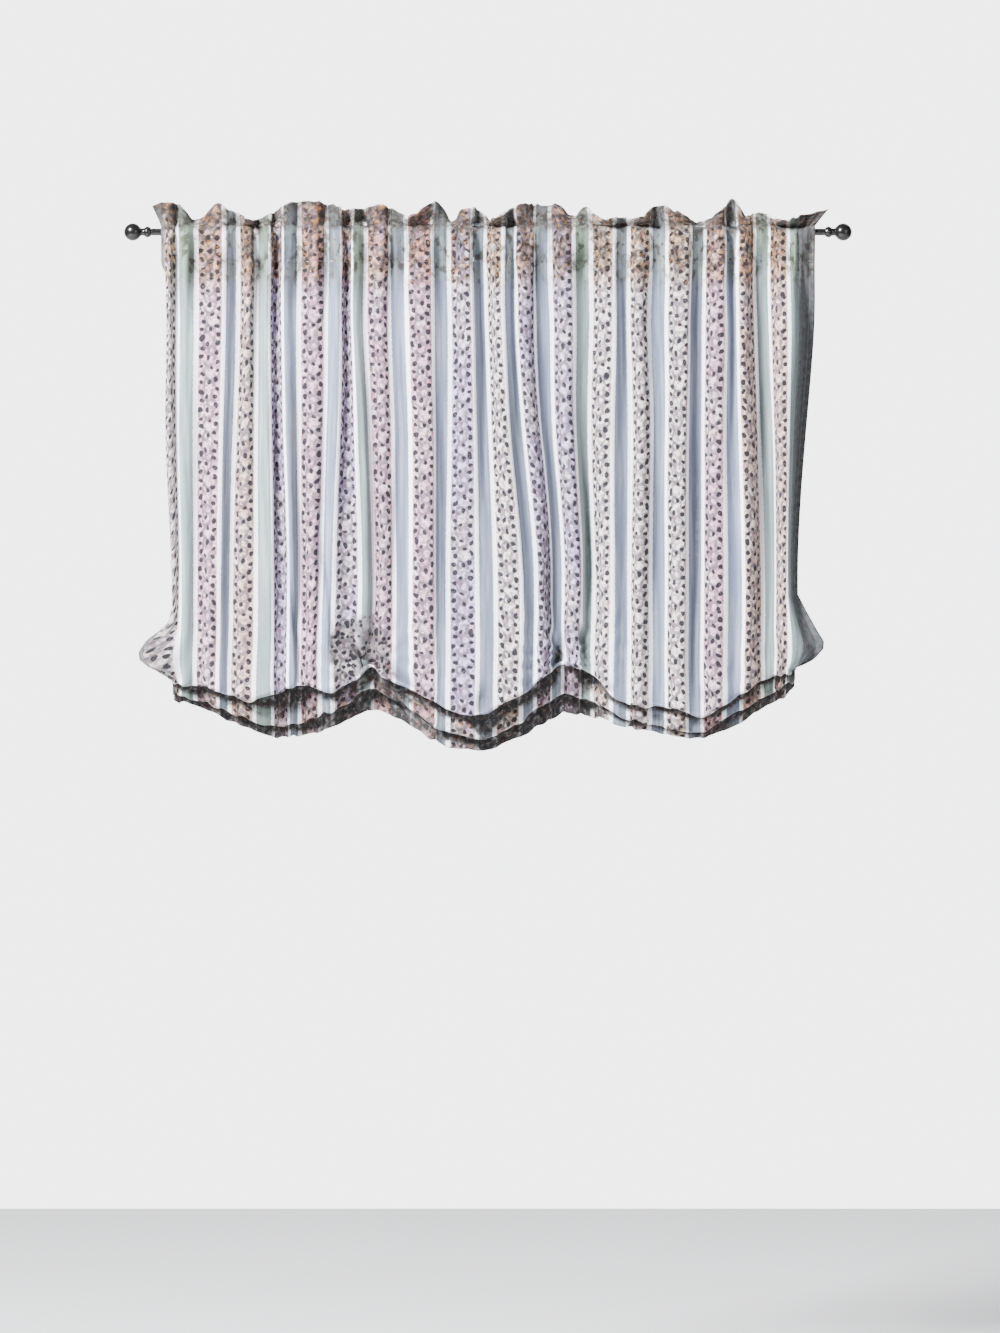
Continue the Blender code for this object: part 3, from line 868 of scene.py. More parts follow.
def stack_rows(last_face_row):
    """Layers behind the front fold: up, over, down, under, up, over, down to the hem."""
    face_length = FACE_SLACK * (LOWER_SEAM - FRONT_FOLD)
    layer_height = (BODY_LENGTH - face_length - (FRONT_FOLD - HEM)) / 4.0
    x, front_y = last_face_row[:, 0], last_face_row[:, 1]
    wave = face_wave(1.0, fold_positions(1.0)[0])
    rows = []
    depth = 0.0

    def add(behind, z):
        """A row of the folds at one depth and height, calmer further back."""
        rows.append(points(x, front_y + behind - wave * STACK_CALM * behind / STACK_DEPTH, z))

    def turn(behind, z, radius, height, first):
        """Half a turn backwards, under the fold or over it."""
        for degrees in range(first, 181, TURN_STEP):
            angle = math.radians(degrees)
            add(behind + radius * (1.0 - math.cos(angle)), z + height * math.sin(angle))

    def run(behind, start, end):
        """Rows of a straight layer between two turns."""
        for share in np.linspace(0.0, 1.0, LAYER_ROWS)[1:-1]:
            add(behind, start + (end - start) * share)

    layers = (
        (FRONT_FOLD, HOLLOW / 2, UNDER_FOLD + FOLD_RADIUS),
        (UNDER_FOLD, INNER_RADIUS, HEM),
    )
    for lowest, inner_radius, end in layers:
        over = lowest + layer_height - inner_radius
        turn(depth, lowest + FOLD_RADIUS, FOLD_RADIUS, -FOLD_RADIUS, TURN_STEP)
        depth = depth + 2 * FOLD_RADIUS
        run(depth, lowest + FOLD_RADIUS, over)
        turn(depth, over, inner_radius, inner_radius, 0)
        depth = depth + 2 * inner_radius
        run(depth, over, end)
    add(depth, HEM)
    return rows


def crown_rows(last, up, out, gap):
    """The turn over the ruffle's top edge, from its back to its front."""
    rows = []
    for turn in CROWN_TURNS:
        angle = math.radians(turn)
        rows.append(last + gap * (up * math.sin(angle) - out * math.cos(angle)))
    return np.array(rows)


def heading_rows():
    """Pocket's back, ruffle's back, crown, ruffle's front and pocket's front, down to the seam."""
    ruffle = ruffle_middle()
    share = np.linspace(0.0, 1.0, RUFFLE_ROWS)[:, None, None]
    along = np.linspace(0.0, RUFFLE_FLAT, RUFFLE_ROWS)[:, None] + np.zeros(len(FLAT))
    uneven = soft_noise(along, *PUFF_HUMP, 11)[:, :, None]
    gap = SEAM_HALF_GAP + RUFFLE_PUFF * ease(share * PUFF_RISE) * (1.0 + PUFF_UNEVEN * uneven)
    out = unit(np.cross(np.gradient(ruffle, axis=1), np.gradient(ruffle, axis=0)))
    back = ruffle - out * gap
    crown = crown_rows(ruffle[-1], unit(ruffle[-1] - ruffle[-2]), out[-1], gap[-1])
    front = (ruffle + out * gap)[::-1]
    pocket_front = pocket_layer(-1, FRONT_WAVE)
    pocket_back = pocket_layer(1, BACK_WAVE)[::-1]
    return np.concatenate([pocket_back[:-1], back, crown, front, pocket_front[1:-1]])


def heading_along():
    """Length along the cloth of each of those rows, from the ruffle's top edge."""
    pocket_end = RUFFLE_FLAT + POCKET_FLAT
    return np.concatenate([
        np.linspace(-pocket_end, -RUFFLE_FLAT, POCKET_ROWS)[:-1],
        np.linspace(-RUFFLE_FLAT, 0.0, RUFFLE_ROWS),
        np.linspace(0.0, CROWN_FLAT, len(CROWN_TURNS) + 2)[1:-1],
        np.linspace(0.0, RUFFLE_FLAT, RUFFLE_ROWS) + CROWN_FLAT,
        np.linspace(RUFFLE_FLAT, pocket_end, POCKET_ROWS)[1:-1] + CROWN_FLAT,
    ])


def printed_sheet():
    """Grid of points of the whole sheet, and the length along it of every point."""
    top_along = heading_along()[:, None] + np.zeros(len(FLAT))
    face = [face_row(share) for share in np.linspace(0.0, 1.0, FACE_ROWS)]
    body = np.array(face + stack_rows(face[-1]))
    # Every column of the body is cut to the same length
    steps = np.linalg.norm(np.diff(body, axis=0), axis=-1)
    body_along = np.concatenate([np.zeros((1, len(FLAT))), np.cumsum(steps, axis=0)])
    body_along = body_along * BODY_LENGTH / body_along[-1] + SEAM_ALONG
    return np.concatenate([heading_rows(), body]), np.concatenate([top_along, body_along])


def crease_cover(grid, column):
    """Sum of all creases on the front, each with its value from one column of the table."""
    cover = np.zeros(grid.shape[:2])
    front = slice(RUFFLE_FRONT.start, FACE.stop)
    x, z = grid[front, :, 0] / MM, grid[front, :, 2] / MM
    for crease in CREASES:
        centre_x, centre_z, half_width, half_height, lean = crease[:5]
        lean = math.radians(lean)
        dx, dz = x - centre_x, z - centre_z
        across = (dx * math.cos(lean) - dz * math.sin(lean)) / half_width
        up = (dx * math.sin(lean) + dz * math.cos(lean)) / half_height
        cover[front] += crease[column] * np.exp(-(across ** 2) - up ** 2)
    return cover


def near_seams(along, reach):
    """How near every point is to the pocket's lower and upper seams, from 0 to 1 for each."""
    lower = np.exp(-np.abs(along - SEAM_ALONG) / reach)
    upper = np.exp(-np.abs(along - SEAM_ALONG + POCKET_FLAT) / reach)
    return lower, upper


def uneven_lift(along, down_face):
    """Height of the body's slack, the foot's crumples and the seams' gathers."""
    slack = 1.0 - SLACK_LEFT * rise(down_face, *SLACK_FADES)
    lower, upper = near_seams(along, GATHER_FADE)
    weights = {
        "body": ease((along - SEAM_ALONG) / SLACK_GROWS) * slack,
        "foot": rise(down_face, *CRUMPLE_GROWS),
        "gathers": np.clip(lower + upper, 0.0, 1.0),
    }
    lift = np.zeros(along.shape)
    for seed, (cell_across, cell_along, height, place) in enumerate(UNEVENNESS, start=21):
        lift += height * weights[place] * soft_noise(along, cell_across, cell_along, seed)
    return lift


def tie_lift(grid, down_face):
    """Height of the creases that fan out above the ties, and depth of the ties' pinches."""
    lift = np.zeros(grid.shape[:2])
    for x, z, pinch, creases in TIES:
        dx = grid[:, :, 0] - x
        dz = grid[:, :, 2] - z
        distance = np.hypot(dx, dz)
        fan = np.cos(creases * np.arctan2(dx, dz)) * np.exp(-(distance / TIE_REACH) ** 2)
        fan = fan * ease(distance / TIE_CORE)
        lift += CREASE_HEIGHT * fan - pinch * np.exp(-(distance / TIE_PINCH) ** 2)
    return lift * rise(down_face, *TIE_GROWS)


def roughen(grid, along):
    """Slack, gathers and creases, raised along the printed side, and a small sway of the folds."""
    row = np.arange(len(grid))[:, None]
    down_face = np.clip((row - FIRST_BODY_ROW) / (FACE_ROWS - 1), 0.0, 1.0)
    lift = uneven_lift(along, down_face)
    lift -= crease_cover(grid, CREASE_DEPTH) * MM
    lift += tie_lift(grid, down_face) * (row < FACE.stop)
    lift[:FIRST_FREE_ROW] = 0.0
    calm = ease((along - SEAM_ALONG) / SWAY_GROWS) * (1.0 - rise(down_face, *SWAY_FADES))
    grid[:, :, 0] += SWAY * calm * soft_noise(along, *SWAY_HUMP, 41)
    grid = grid + printed_normals(grid) * lift[:, :, None]
    from_rod = np.hypot(grid[:, :, 1], grid[:, :, 2])
    away = np.where(from_rod < ROD_CLEARANCE, ROD_CLEARANCE / np.maximum(from_rod, MM), 1.0)
    away[FIRST_BODY_ROW:] = 1.0
    grid[:, :, 1:] *= away[:, :, None]
    return grid


def gather_shade(along):
    """Shade of the small gathers at both seams of the pocket, and of its shelf over the rod."""
    pinched = sum(
        share * soft_noise(along, cell_across, cell_along, seed)
        for cell_across, cell_along, share, seed in GATHERS
    )
    cover = np.maximum(*near_seams(along, GATHER_REACH))
    gathers = GATHER_SHADE * cover * rise(pinched, *GATHER_EDGE)
    shelf = (along - SEAM_ALONG + POCKET_FLAT - SHELF_PLACE) / SHELF_REACH
    return np.maximum(gathers, SHELF_SHADE * np.exp(-(shelf ** 2)))


def valley_shading(shade, warm):
    """Shade of the valleys, and warm print that fades out below the heading."""
    valley = ease((VALLEY_WIDTH - CREST) / VALLEY_WIDTH)
    shade[POCKET_FRONT] = VALLEY_SHADE * valley
    shade[RUFFLE_FRONT] = RUFFLE_SHADE + VALLEY_SHADE * valley
    warm[:FIRST_BODY_ROW] = 1.0
    for row, height_share in enumerate(np.linspace(0.0, 1.0, FACE_ROWS), start=FIRST_BODY_ROW):
        wave = np.abs(face_wave(height_share, fold_positions(height_share)[0]))
        shade[row] = VALLEY_SHADE * valley * np.clip(2.0 * wave / SHADED_DEPTH, 0.0, 1.0)
        warm[row] = 1.0 - rise(height_share, *WARM_FADE)


def layer_shading(shade, warm, heights):
    """Shade below each fold on the cloth behind it, and warm print on that cloth."""
    turn_rows = len(range(TURN_STEP, 181, TURN_STEP))
    over_rows = len(range(0, 181, TURN_STEP))
    layer_rows = turn_rows + over_rows + 2 * (LAYER_ROWS - 2)
    layers = ((FRONT_FOLD, FRONT_SHADE_REACH), (UNDER_FOLD, UNDER_SHADE_REACH))
    for layer, (fold, reaches) in enumerate(layers):
        start = FACE.stop + layer * layer_rows
        layer_end = start + layer_rows + turn_rows // 2
        rows = slice(start + turn_rows // 2, layer_end)
        below = fold - heights[rows]
        reach = smooth_curve(SHADE_STATION, reaches, FOOT_X)
        lit = np.maximum(rise(below / reach, *SHADE_FADE), ease(-below / ABOVE_FOLD))
        shade[rows] = DEEPEST_SHADE + (LAYER_SHADE - DEEPEST_SHADE) * lit
        warm[start + turn_rows + LAYER_ROWS - 2 + over_rows:layer_end] = WARM_FOOT
    shade[-1] = shade[-2]


def shading(grid, along):
    """Painted shade of the cloth, how warm its print is and where it is bunched, at every point."""
    shade, warm, bunched = np.zeros((3, *grid.shape[:2]))
    valley_shading(shade, warm)
    layer_shading(shade, warm, grid[:, :, 2])
    shade += crease_cover(grid, CREASE_SHADE) * (1.0 - shade)
    shade += gather_shade(along) * (1.0 - shade)
    x, z, half_width, half_height = BUNCHED
    distance = np.hypot((grid[FACE, :, 0] - x) / half_width, (grid[FACE, :, 2] - z) / half_height)
    bunched[FACE] = 1.0 - rise(distance, *BUNCHED_FADE)
    return np.clip(shade, 0.0, DEEPEST_SHADE), warm, bunched


def turn_up_hem(grid, along):
    """Adds the hem that is turned up behind the lower edge."""
    behind = -printed_normals(grid)[-1] * LAYER_GAP
    rows = []
    lengths = []
    for share in HEM_TURN:
        rows.append(grid[-1] + behind * share - (0, 0, HEM_DROP * (1.5 - share)))
        lengths.append(along[-1] + LAYER_GAP * share)
    for share in HEM_RISE:
        height = HEM_FLAT * share
        front = np.array([
            [np.interp(-height, along[:, c] - along[-1, c], grid[:, c, k]) for k in range(3)]
            for c in range(grid.shape[1])
        ])
        rows.append(front + behind)
        lengths.append(along[-1] + LAYER_GAP + height)
    return np.concatenate([grid, rows]), np.concatenate([along, lengths])


def turn_in_sides(grid, along):
    """Adds both side edges' turned-in strips, and gives the flat position of every column."""
    behind = grid - printed_normals(grid) * LAYER_GAP
    inward = int(np.searchsorted(FLAT, SIDE_HEM))
    left = behind[:, [inward, inward // 2, 0]]
    right = behind[:, [-1, -1 - inward // 2, -1 - inward]]
    grid = np.concatenate([left, grid, right], axis=1)
    along = np.pad(along, ((0, 0), (SIDE_COLUMNS, SIDE_COLUMNS)), mode="edge")
    turned = np.array([SIDE_HEM, SIDE_HEM / 2, SIDE_EDGE])
    return grid, along, np.concatenate([-turned, FLAT, FLAT_WIDTH + turned[::-1]])


def build_cloth():
    """The printed sheet as one mesh with its flat position as UV, and its flat length."""
    grid, along = printed_sheet()
    shade, warm, bunched = shading(grid, along)
    grid, along = turn_up_hem(roughen(grid, along), along)
    grid, along, flat = turn_in_sides(grid, along)
    rows, columns = grid.shape[:2]
    index = np.arange(rows * columns).reshape(rows, columns)
    corners = [index[:-1, :-1], index[1:, :-1], index[1:, 1:], index[:-1, 1:]]
    quads = np.stack(corners, axis=-1).reshape(-1, 4)
    mesh = bpy.data.meshes.new("valance_print")
    mesh.from_pydata(grid.reshape(-1, 3).tolist(), [], quads.tolist())
    uv = np.stack([np.broadcast_to(flat, along.shape), -along], axis=-1).reshape(-1, 2)
    layer = mesh.uv_layers.new(name="flat")
    layer.data.foreach_set("uv", uv[quads.reshape(-1)].ravel())
    for name, values in (("shade", shade), ("warm", warm), ("bunched", bunched)):
        extra = ((0, rows - values.shape[0]), (SIDE_COLUMNS, SIDE_COLUMNS))
        attribute = mesh.attributes.new(name, "FLOAT", "POINT")
        attribute.data.foreach_set("value", np.pad(values, extra, mode="edge").ravel())
    mesh.shade_smooth()
    return add_object("valance_print", mesh), along[-1].mean() - along[0].mean()


# ---------------------------------------------------------------- finials


def finial_outline():
    """Collar, neck and ball."""
    outline = [(distance * MM, radius * MM) for distance, radius in FINIAL_NECK]
    first = math.asin(outline[-1][1] / BALL_RADIUS)
    for ring in range(1, BALL_RINGS + 1):
        angle = first + (math.pi - first) * ring / BALL_RINGS
        outline.append((BALL_CENTRE - BALL_RADIUS * math.cos(angle), BALL_RADIUS * math.sin(angle)))
    return outline


def build_finial(name, direction):
    """A finial turned round the rod's centre line, on the side given by direction."""
    start = direction * (ROD_HALF_LENGTH + PART_GAP)
    outline = [(0.0, 0.0)] + finial_outline()
    vertices = []
    for distance, radius in outline:
        for side in range(TURNED_SIDES):
            angle = 2 * math.pi * side / TURNED_SIDES
            x = start + direction * distance
            vertices.append((x, radius * math.cos(angle), radius * math.sin(angle)))
    faces = []
    for ring in range(len(outline) - 1):
        for side in range(TURNED_SIDES):
            after = (side + 1) % TURNED_SIDES
            corners = [ring * TURNED_SIDES + side, ring * TURNED_SIDES + after]
            corners += [(ring + 1) * TURNED_SIDES + after, (ring + 1) * TURNED_SIDES + side]
            faces.append(corners[::direction])
    mesh = bpy.data.meshes.new(name)
    mesh.from_pydata(vertices, [], faces)
    mesh.shade_smooth()
    mesh.set_sharp_from_angle(angle=math.radians(SHARP_EDGE))
    return add_object(name, mesh)


# ---------------------------------------------------------------- materials


def linear(colour):
    """Screen values from 0 to 255 as linear red, green, blue and alpha."""
    channels = []
    for value in colour:
        value = value / 255.0
        channels.append(value / 12.92 if value <= 0.04045 else ((value + 0.055) / 1.055) ** 2.4)
    return (*channels, 1.0)


class Graph:
    """Short calls that add nodes to a material."""

    def __init__(self, name):
        self.material = bpy.data.materials.new(name)
        self.material.use_nodes = True
        self.nodes = self.material.node_tree.nodes
        self.links = self.material.node_tree.links
        self.shader = self.nodes["Principled BSDF"]

    def plug(self, socket, value):
        """Link a socket to another, or set its value."""
        if isinstance(value, bpy.types.NodeSocket):
            self.links.new(value, socket)
        else:
            socket.default_value = value

    def finish(self, **values):
        """Plug the shader's sockets, named with _ for each space, and give the material."""
        for name, value in values.items():
            self.plug(self.shader.inputs[name.replace("_", " ")], value)
        return self.material

    def node(self, kind, *values, operation=None):
        """A new node with its first sockets filled."""
        node = self.nodes.new("ShaderNode" + kind)
        if operation:
            node.operation = operation
        for socket, value in zip(node.inputs, values):
            self.plug(socket, value)
        return node

    def math(self, operation, *values):
        """A sum, product or other number from numbers."""
        return self.node("Math", *values, operation=operation).outputs[0]

    def times(self, *values):
        """Product of numbers."""
        return reduce(lambda product, value: self.math("MULTIPLY", product, value), values)

    def most(self, values):
        """Largest of some numbers."""
        return reduce(lambda most, value: self.math("MAXIMUM", most, value), values)

    def away(self, value, place):
        """Distance of a number from a place."""
        return self.math("ABSOLUTE", self.math("SUBTRACT", value, place))

    def vector(self, operation, *values):
        """A vector from vectors."""
        return self.node("VectorMath", *values, operation=operation).outputs["Vector"]

    def length(self, vector):
        """Length of a vector."""
        return self.node("VectorMath", vector, operation="LENGTH").outputs["Value"]

    def scaled(self, vector, *factors):
        """A vector or colour multiplied by one factor, or by three."""
        return self.vector("MULTIPLY", vector, factors if len(factors) == 3 else factors * 3)

    def dimmed(self, colour, light):
        """A colour with a share of its light left."""
        return self.vector("MULTIPLY", colour, self.node("CombineXYZ", light, light, light).outputs[0])

    def step(self, value, low, high):
        """0 at low and 1 at high, with a smooth rise between."""
        node = self.node("MapRange", value, low, high)
        node.interpolation_type = "SMOOTHSTEP"
        return node.outputs["Result"]

    def within(self, distance, limit, blur=EDGE_BLUR):
        """1 closer than the limit and 0 beyond it, with a soft edge."""
        return self.step(distance, limit + blur, limit - blur)

    def mix(self, share, first, second):
        """Colour between two others."""
        node = self.nodes.new("ShaderNodeMix")
        node.data_type = "RGBA"
        self.plug(node.inputs[0], share)
        self.plug(node.inputs[6], first)
        self.plug(node.inputs[7], second)
        return node.outputs[2]

    def noise(self, vector, scale, detail=2.0, output="Fac"):
        """Noise at a place, as a number or as a colour."""
        node = self.nodes.new("ShaderNodeTexNoise")
        self.plug(node.inputs["Vector"], vector)
        node.inputs["Scale"].default_value = scale
        node.inputs["Detail"].default_value = detail
        return node.outputs[output]

    def dots(self, vector, scale, outer, inner):
        """Small scattered dots with soft edges."""
        node = self.nodes.new("ShaderNodeTexVoronoi")
        self.plug(node.inputs["Vector"], vector)
        node.inputs["Scale"].default_value = scale
        return self.step(node.outputs["Distance"], outer, inner)

    def bump(self, height, distance, strength, normal=None):
        """Normals of a rough surface, on top of those given."""
        node = self.nodes.new("ShaderNodeBump")
        node.inputs["Distance"].default_value = distance
        node.inputs["Strength"].default_value = strength
        self.plug(node.inputs["Height"], height)
        if normal is not None:
            self.plug(node.inputs["Normal"], normal)
        return node.outputs["Normal"]


class Cotton(Graph):
    """Printed cotton, built up from its stripes to its weave. Lengths are flat millimetres."""

    def __init__(self):
        super().__init__("valance_print")
        uv = self.nodes.new("ShaderNodeUVMap")
        uv.uv_map = "flat"
        self.place = self.scaled(uv.outputs["UV"], 1000.0)
        self.across, self.along, _ = self.node("SeparateXYZ", self.place).outputs
        self.inks = {name: linear(value) for name, value in COLOURS.items()}
        self.warm = self.times(self.attribute("warm"), self.patches("handled"))

    def attribute(self, name):
        """A number stored at the sheet's points."""
        node = self.nodes.new("ShaderNodeAttribute")
        node.attribute_name = name
        return node.outputs["Fac"]

    def patches(self, name):
        """Soft patches from the table."""
        scale, detail, low, high, along = PATCHES[name]
        place = self.vector("ADD", self.place, SHADED_ORANGE_SHIFT) if name == "shaded_orange" else self.place
        return self.step(self.noise(self.scaled(place, 1.0, along, 1.0), scale, detail), low, high)

    def blend(self, under, over, *shares):
        """A colour drawn towards another by the product of the shares."""
        return self.mix(self.times(*shares), under, over)

    def tint(self, ink, *shares):
        """Draws the cloth's colour towards an ink."""
        self.colour = self.blend(self.colour, self.inks[ink], *shares)

    def wear_and_shade(self, left, *shares):
        """Leaves only a part of the cloth's colour, for worn print and for painted shade."""
        self.colour = self.blend(self.colour, self.scaled(self.colour, *left), *shares)

    def bands(self, names, first_start):
        """Colour of the band that a point is on, where each band is one repeat wide."""
        width = FLAT_WIDTH / MM
        ramp = self.node("ValToRGB", self.math("DIVIDE", self.across, width))
        ramp.color_ramp.interpolation = "CONSTANT"
        stops = ramp.color_ramp.elements
        stops[0].color = self.inks[names[0]]
        stops.remove(stops[1])
        for number, name in enumerate(names[1:], start=1):
            start = first_start + STRIPE_REPEAT * number
            stops.new(start / width).color = self.inks[name]
        return ramp.outputs["Color"]

    def print_stripes(self):
        """Floral, white and blue stripes, by the distance from the nearest floral band's middle."""
        inks = self.inks
        half = STRIPE_REPEAT / 2
        local = self.math("WRAP", self.math("SUBTRACT", self.across, FIRST_FLORAL), half, -half)
        uneven = self.times(self.math("SUBTRACT", self.noise(self.place, 0.2), 0.5), EDGE_UNEVEN)
        from_floral = self.math("ADD", self.math("ABSOLUTE", local), uneven)
        crumpled = self.math("MULTIPLY_ADD", self.noise(self.place, 0.06, 4.0), 1.6, -0.7)
        self.bunched = self.step(self.math("ADD", self.attribute("bunched"), crumpled), 0.3, 0.8)
        self.floral = self.within(from_floral, FLORAL_HALF)
        self.floral = self.most((self.floral, self.times(self.bunched, 0.9)))
        self.blue = self.within(from_floral, half - BLUE_HALF, -EDGE_BLUR)
        self.foliage = self.times(self.patches("foliage"), 0.6)

        ground = self.bands(GROUNDS, FIRST_FLORAL - half)
        ground = self.blend(ground, inks["khaki"], self.bunched, 0.85)
        ground = self.blend(ground, inks["cream"], self.patches("cream"), 0.5)
        ground = self.blend(ground, inks["white"], self.patches("mottle"), 0.34)
        ground = self.blend(ground, inks["haze"], self.foliage)
        # the blue bands are drawn towards white in streaks along them: painted light of small folds
        blue = self.blend(self.bands(BLUES, FIRST_FLORAL), inks["white"], self.patches("lit_fold_streaks"), 0.14)
        self.colour = self.blend(self.blend(inks["white"], blue, self.blue), ground, self.floral)

    def print_borders(self):
        """Plain strips with fine lines at both side edges."""
        right_start = FLAT_WIDTH / MM - RIGHT_BORDER
        right = self.within(self.across, right_start, -EDGE_BLUR)
        border = self.most((self.within(self.across, LEFT_BORDER), right))
        lines = self.step(self.math("PINGPONG", self.across, BORDER_LINES / 2), 1.3, 0.5)
        colour = self.blend(self.inks["selvedge"], self.inks["haze"], self.foliage)
        colour = self.blend(colour, self.inks["vine"], lines, 0.75)
        self.colour = self.blend(self.colour, colour, border)
        self.floral = self.times(self.floral, self.math("MULTIPLY_ADD", border, -0.75, 1.0))

    def from_form(self, centred, across, along):
        """Vector from the nearest repeat of one form of the vine."""
        half = (STRIPE_REPEAT / 2, VINE_REPEAT / 2, 1.0)
        offset = self.vector("SUBTRACT", centred, (across, along, 0.0))
        return self.vector("WRAP", offset, half, tuple(-value for value in half))

    def vine_forms(self, centred):
        """Ink and cover of every form of the vine. A cover is 1 on the form, with a soft edge."""
        for across, along, radius in BERRIES:
            offset = self.from_form(centred, across, along)
            yield "dark", self.within(self.length(offset), radius, 0.8)
        for across, along, radius, line, form, ink in RINGS:
            offset = self.from_form(centred, across, along)
            cover = self.within(self.away(self.length(offset), radius), line / 2)
            if form == "lower half":
                height = self.node("SeparateXYZ", offset).outputs[1]
                cover = self.times(cover, self.step(height, 1.5, -1.0))
            yield ink, cover
        for across, along, half_length, half_width, turn, ink in LEAVES:
            node = self.node("VectorRotate", self.from_form(centred, across, along))
            node.rotation_type = "Z_AXIS"
            node.inputs["Angle"].default_value = math.radians(turn)
            offset = self.vector("DIVIDE", node.outputs[0], (half_width, half_length, 1.0))
            yield ink, self.step(self.length(offset), 1.35, 0.7)

    def print_vine(self):
        """Vine and berries on the floral bands, lower on each band than on the one before it."""
        wobble = self.vector("SUBTRACT", self.noise(self.place, 0.06, 1.0, "Color"), (0.5, 0.5, 0.5))
        drawn = self.vector("ADD", self.place, self.scaled(wobble, *VINE_SWAY))
        left_end = 0.5 - FIRST_FLORAL / STRIPE_REPEAT
        band = self.math("MULTIPLY_ADD", self.across, 1.0 / STRIPE_REPEAT, left_end)
        drop = self.times(self.math("FLOOR", band), VINE_DROP)
        start = self.node("CombineXYZ", FIRST_FLORAL, drop, 0.0).outputs[0]
        forms = list(self.vine_forms(self.vector("SUBTRACT", drawn, start)))
        for ink, strength in INKS:
            cover = self.most([form for form_ink, form in forms if form_ink == ink])
            self.tint(ink, cover, self.floral, strength)
        self.tint("vine", self.dots(self.place, *FLECKS), self.floral, 0.7)
        self.blots = self.dots(self.place, *BLOTS)
        crowded = self.most((self.bunched, self.times(self.attribute("warm"), 0.5)))
        self.tint("dark", self.blots, crowded, self.floral)

    def stitch(self, seam_lines):
        """Rows of dashed stitches, with the groove that they pull the cloth into."""
        threads = []
        grooves = []
        for axis, position in seam_lines:
            value, run = (self.along, self.across) if axis == "along" else (self.across, self.along)
            line = self.away(value, position)
            dash = self.step(self.math("PINGPONG", run, STITCH_PITCH / 2), 0.25, 0.55)
            threads.append(self.times(dash, self.step(line, 0.55, 0.2)))
            grooves.append(self.step(line, GROOVE_HALF, 0.0))
        self.thread = self.most(threads)
        self.groove = self.most(grooves)
        self.tint("thread", self.thread, 0.3)

    def warm_heading(self):
        """Warmer print at the heading and foot, a khaki, duller ruffle and dark curls in the ruffle,
        the last two painted shade.
        """
        gilt = self.patches("gilt")
        tanned = self.blend(self.scaled(self.colour, *TANNED), self.inks["gold"], gilt, 0.5)
        self.colour = self.blend(self.colour, tanned, self.warm, self.floral)
        self.wear_and_shade(GREENED, self.warm, self.blue)
        from_crown = self.away(self.along, -CROWN_FLAT / MM / 2)
        ruffle = self.step(from_crown, RUFFLE_FLAT / MM + 12.0, RUFFLE_FLAT / MM - 8.0)
        # the ruffle is drawn towards khaki and made duller in uneven patches: painted shade of its
        # gathers
        ruffle_shade_cover = self.math("MULTIPLY_ADD", self.patches("ruffle_shade_patches"), 0.3, 0.12)
        self.tint("khaki", ruffle, ruffle_shade_cover)
        self.wear_and_shade(RUFFLE_SHADE_TINT, ruffle, 0.8)
        self.tint("gold", gilt, ruffle, self.floral, 0.6)
        self.tint("vine", self.blots, ruffle, 0.7)
        # dark curls where the print is warm, most of all in the ruffle: painted shade of small tight
        # curls
        curls = self.noise(self.scaled(self.place, 1.0, 0.7, 1.0), 0.085, 3.0)
        curls = self.step(self.math("MULTIPLY_ADD", ruffle, 0.05, curls), 0.52, 0.62)
        self.wear_and_shade(CURL_SHADE_TINT, self.warm, curls)

    def shade_folds(self):
        """Painted shade from the shade stored at the points, broken by patches of painted light."""
        shade = self.attribute("shade")
        # patches where crumples catch the light lift the painted shade: painted light
        caught = self.times(self.patches("caught"), self.step(shade, 0.3, 0.5))
        shade = self.times(shade, self.math("MULTIPLY_ADD", caught, -0.3, 1.0))
        # in deep shade the print turns to a painted shadow colour, with lighter patches of painted
        # light and orange patches of painted shade
        painted_shadow_colour = self.blend(self.inks["shadow"], self.inks["glow"], self.patches("glow"))
        painted_shadow_colour = self.blend(painted_shadow_colour, self.inks["shaded_orange"], self.patches("shaded_orange"))
        self.colour = self.blend(self.colour, painted_shadow_colour, self.step(shade, 0.38, 0.66), 0.75)
        light_left = self.math("POWER", self.math("SUBTRACT", 1.0, shade), SHADE_POWER)
        self.colour = self.dimmed(self.colour, light_left)

    def weave(self):
        """Plain weave with uneven yarn, stitches and small creases, and the finished material."""
        warp_slub = self.noise(self.scaled(self.place, 1.0, 0.06, 1.0), 1.1, 2.0)
        weft_slub = self.noise(self.scaled(self.place, 0.06, 1.0, 1.0), 1.1, 2.0)
        slub = self.math("ADD", warp_slub, weft_slub)
        turn = 2 * math.pi / WEAVE_PITCH
        warp, weft = (self.math("SINE", self.times(run, turn)) for run in (self.across, self.along))
        normal = self.bump(self.math("MULTIPLY_ADD", slub, 0.6, self.times(warp, weft)), 0.06 * MM, 0.6)
        relief = self.math("SUBTRACT", self.times(self.thread, 0.6), self.groove)
        normal = self.bump(relief, 0.7 * MM, 0.7, normal)
        small_creases = self.noise(self.scaled(self.place, 1.0, 0.35, 1.0), 0.07, 5.0)
        return self.finish(
            Base_Color=self.dimmed(self.colour, self.math("MULTIPLY_ADD", slub, 0.14, 0.86)),
            Normal=self.bump(small_creases, 3.4 * MM, 0.6, normal),
            Roughness=self.math("MULTIPLY_ADD", slub, 0.1, 0.78),
            Sheen_Weight=0.15,
            Sheen_Roughness=0.5,
            Specular_IOR_Level=0.25,
        )


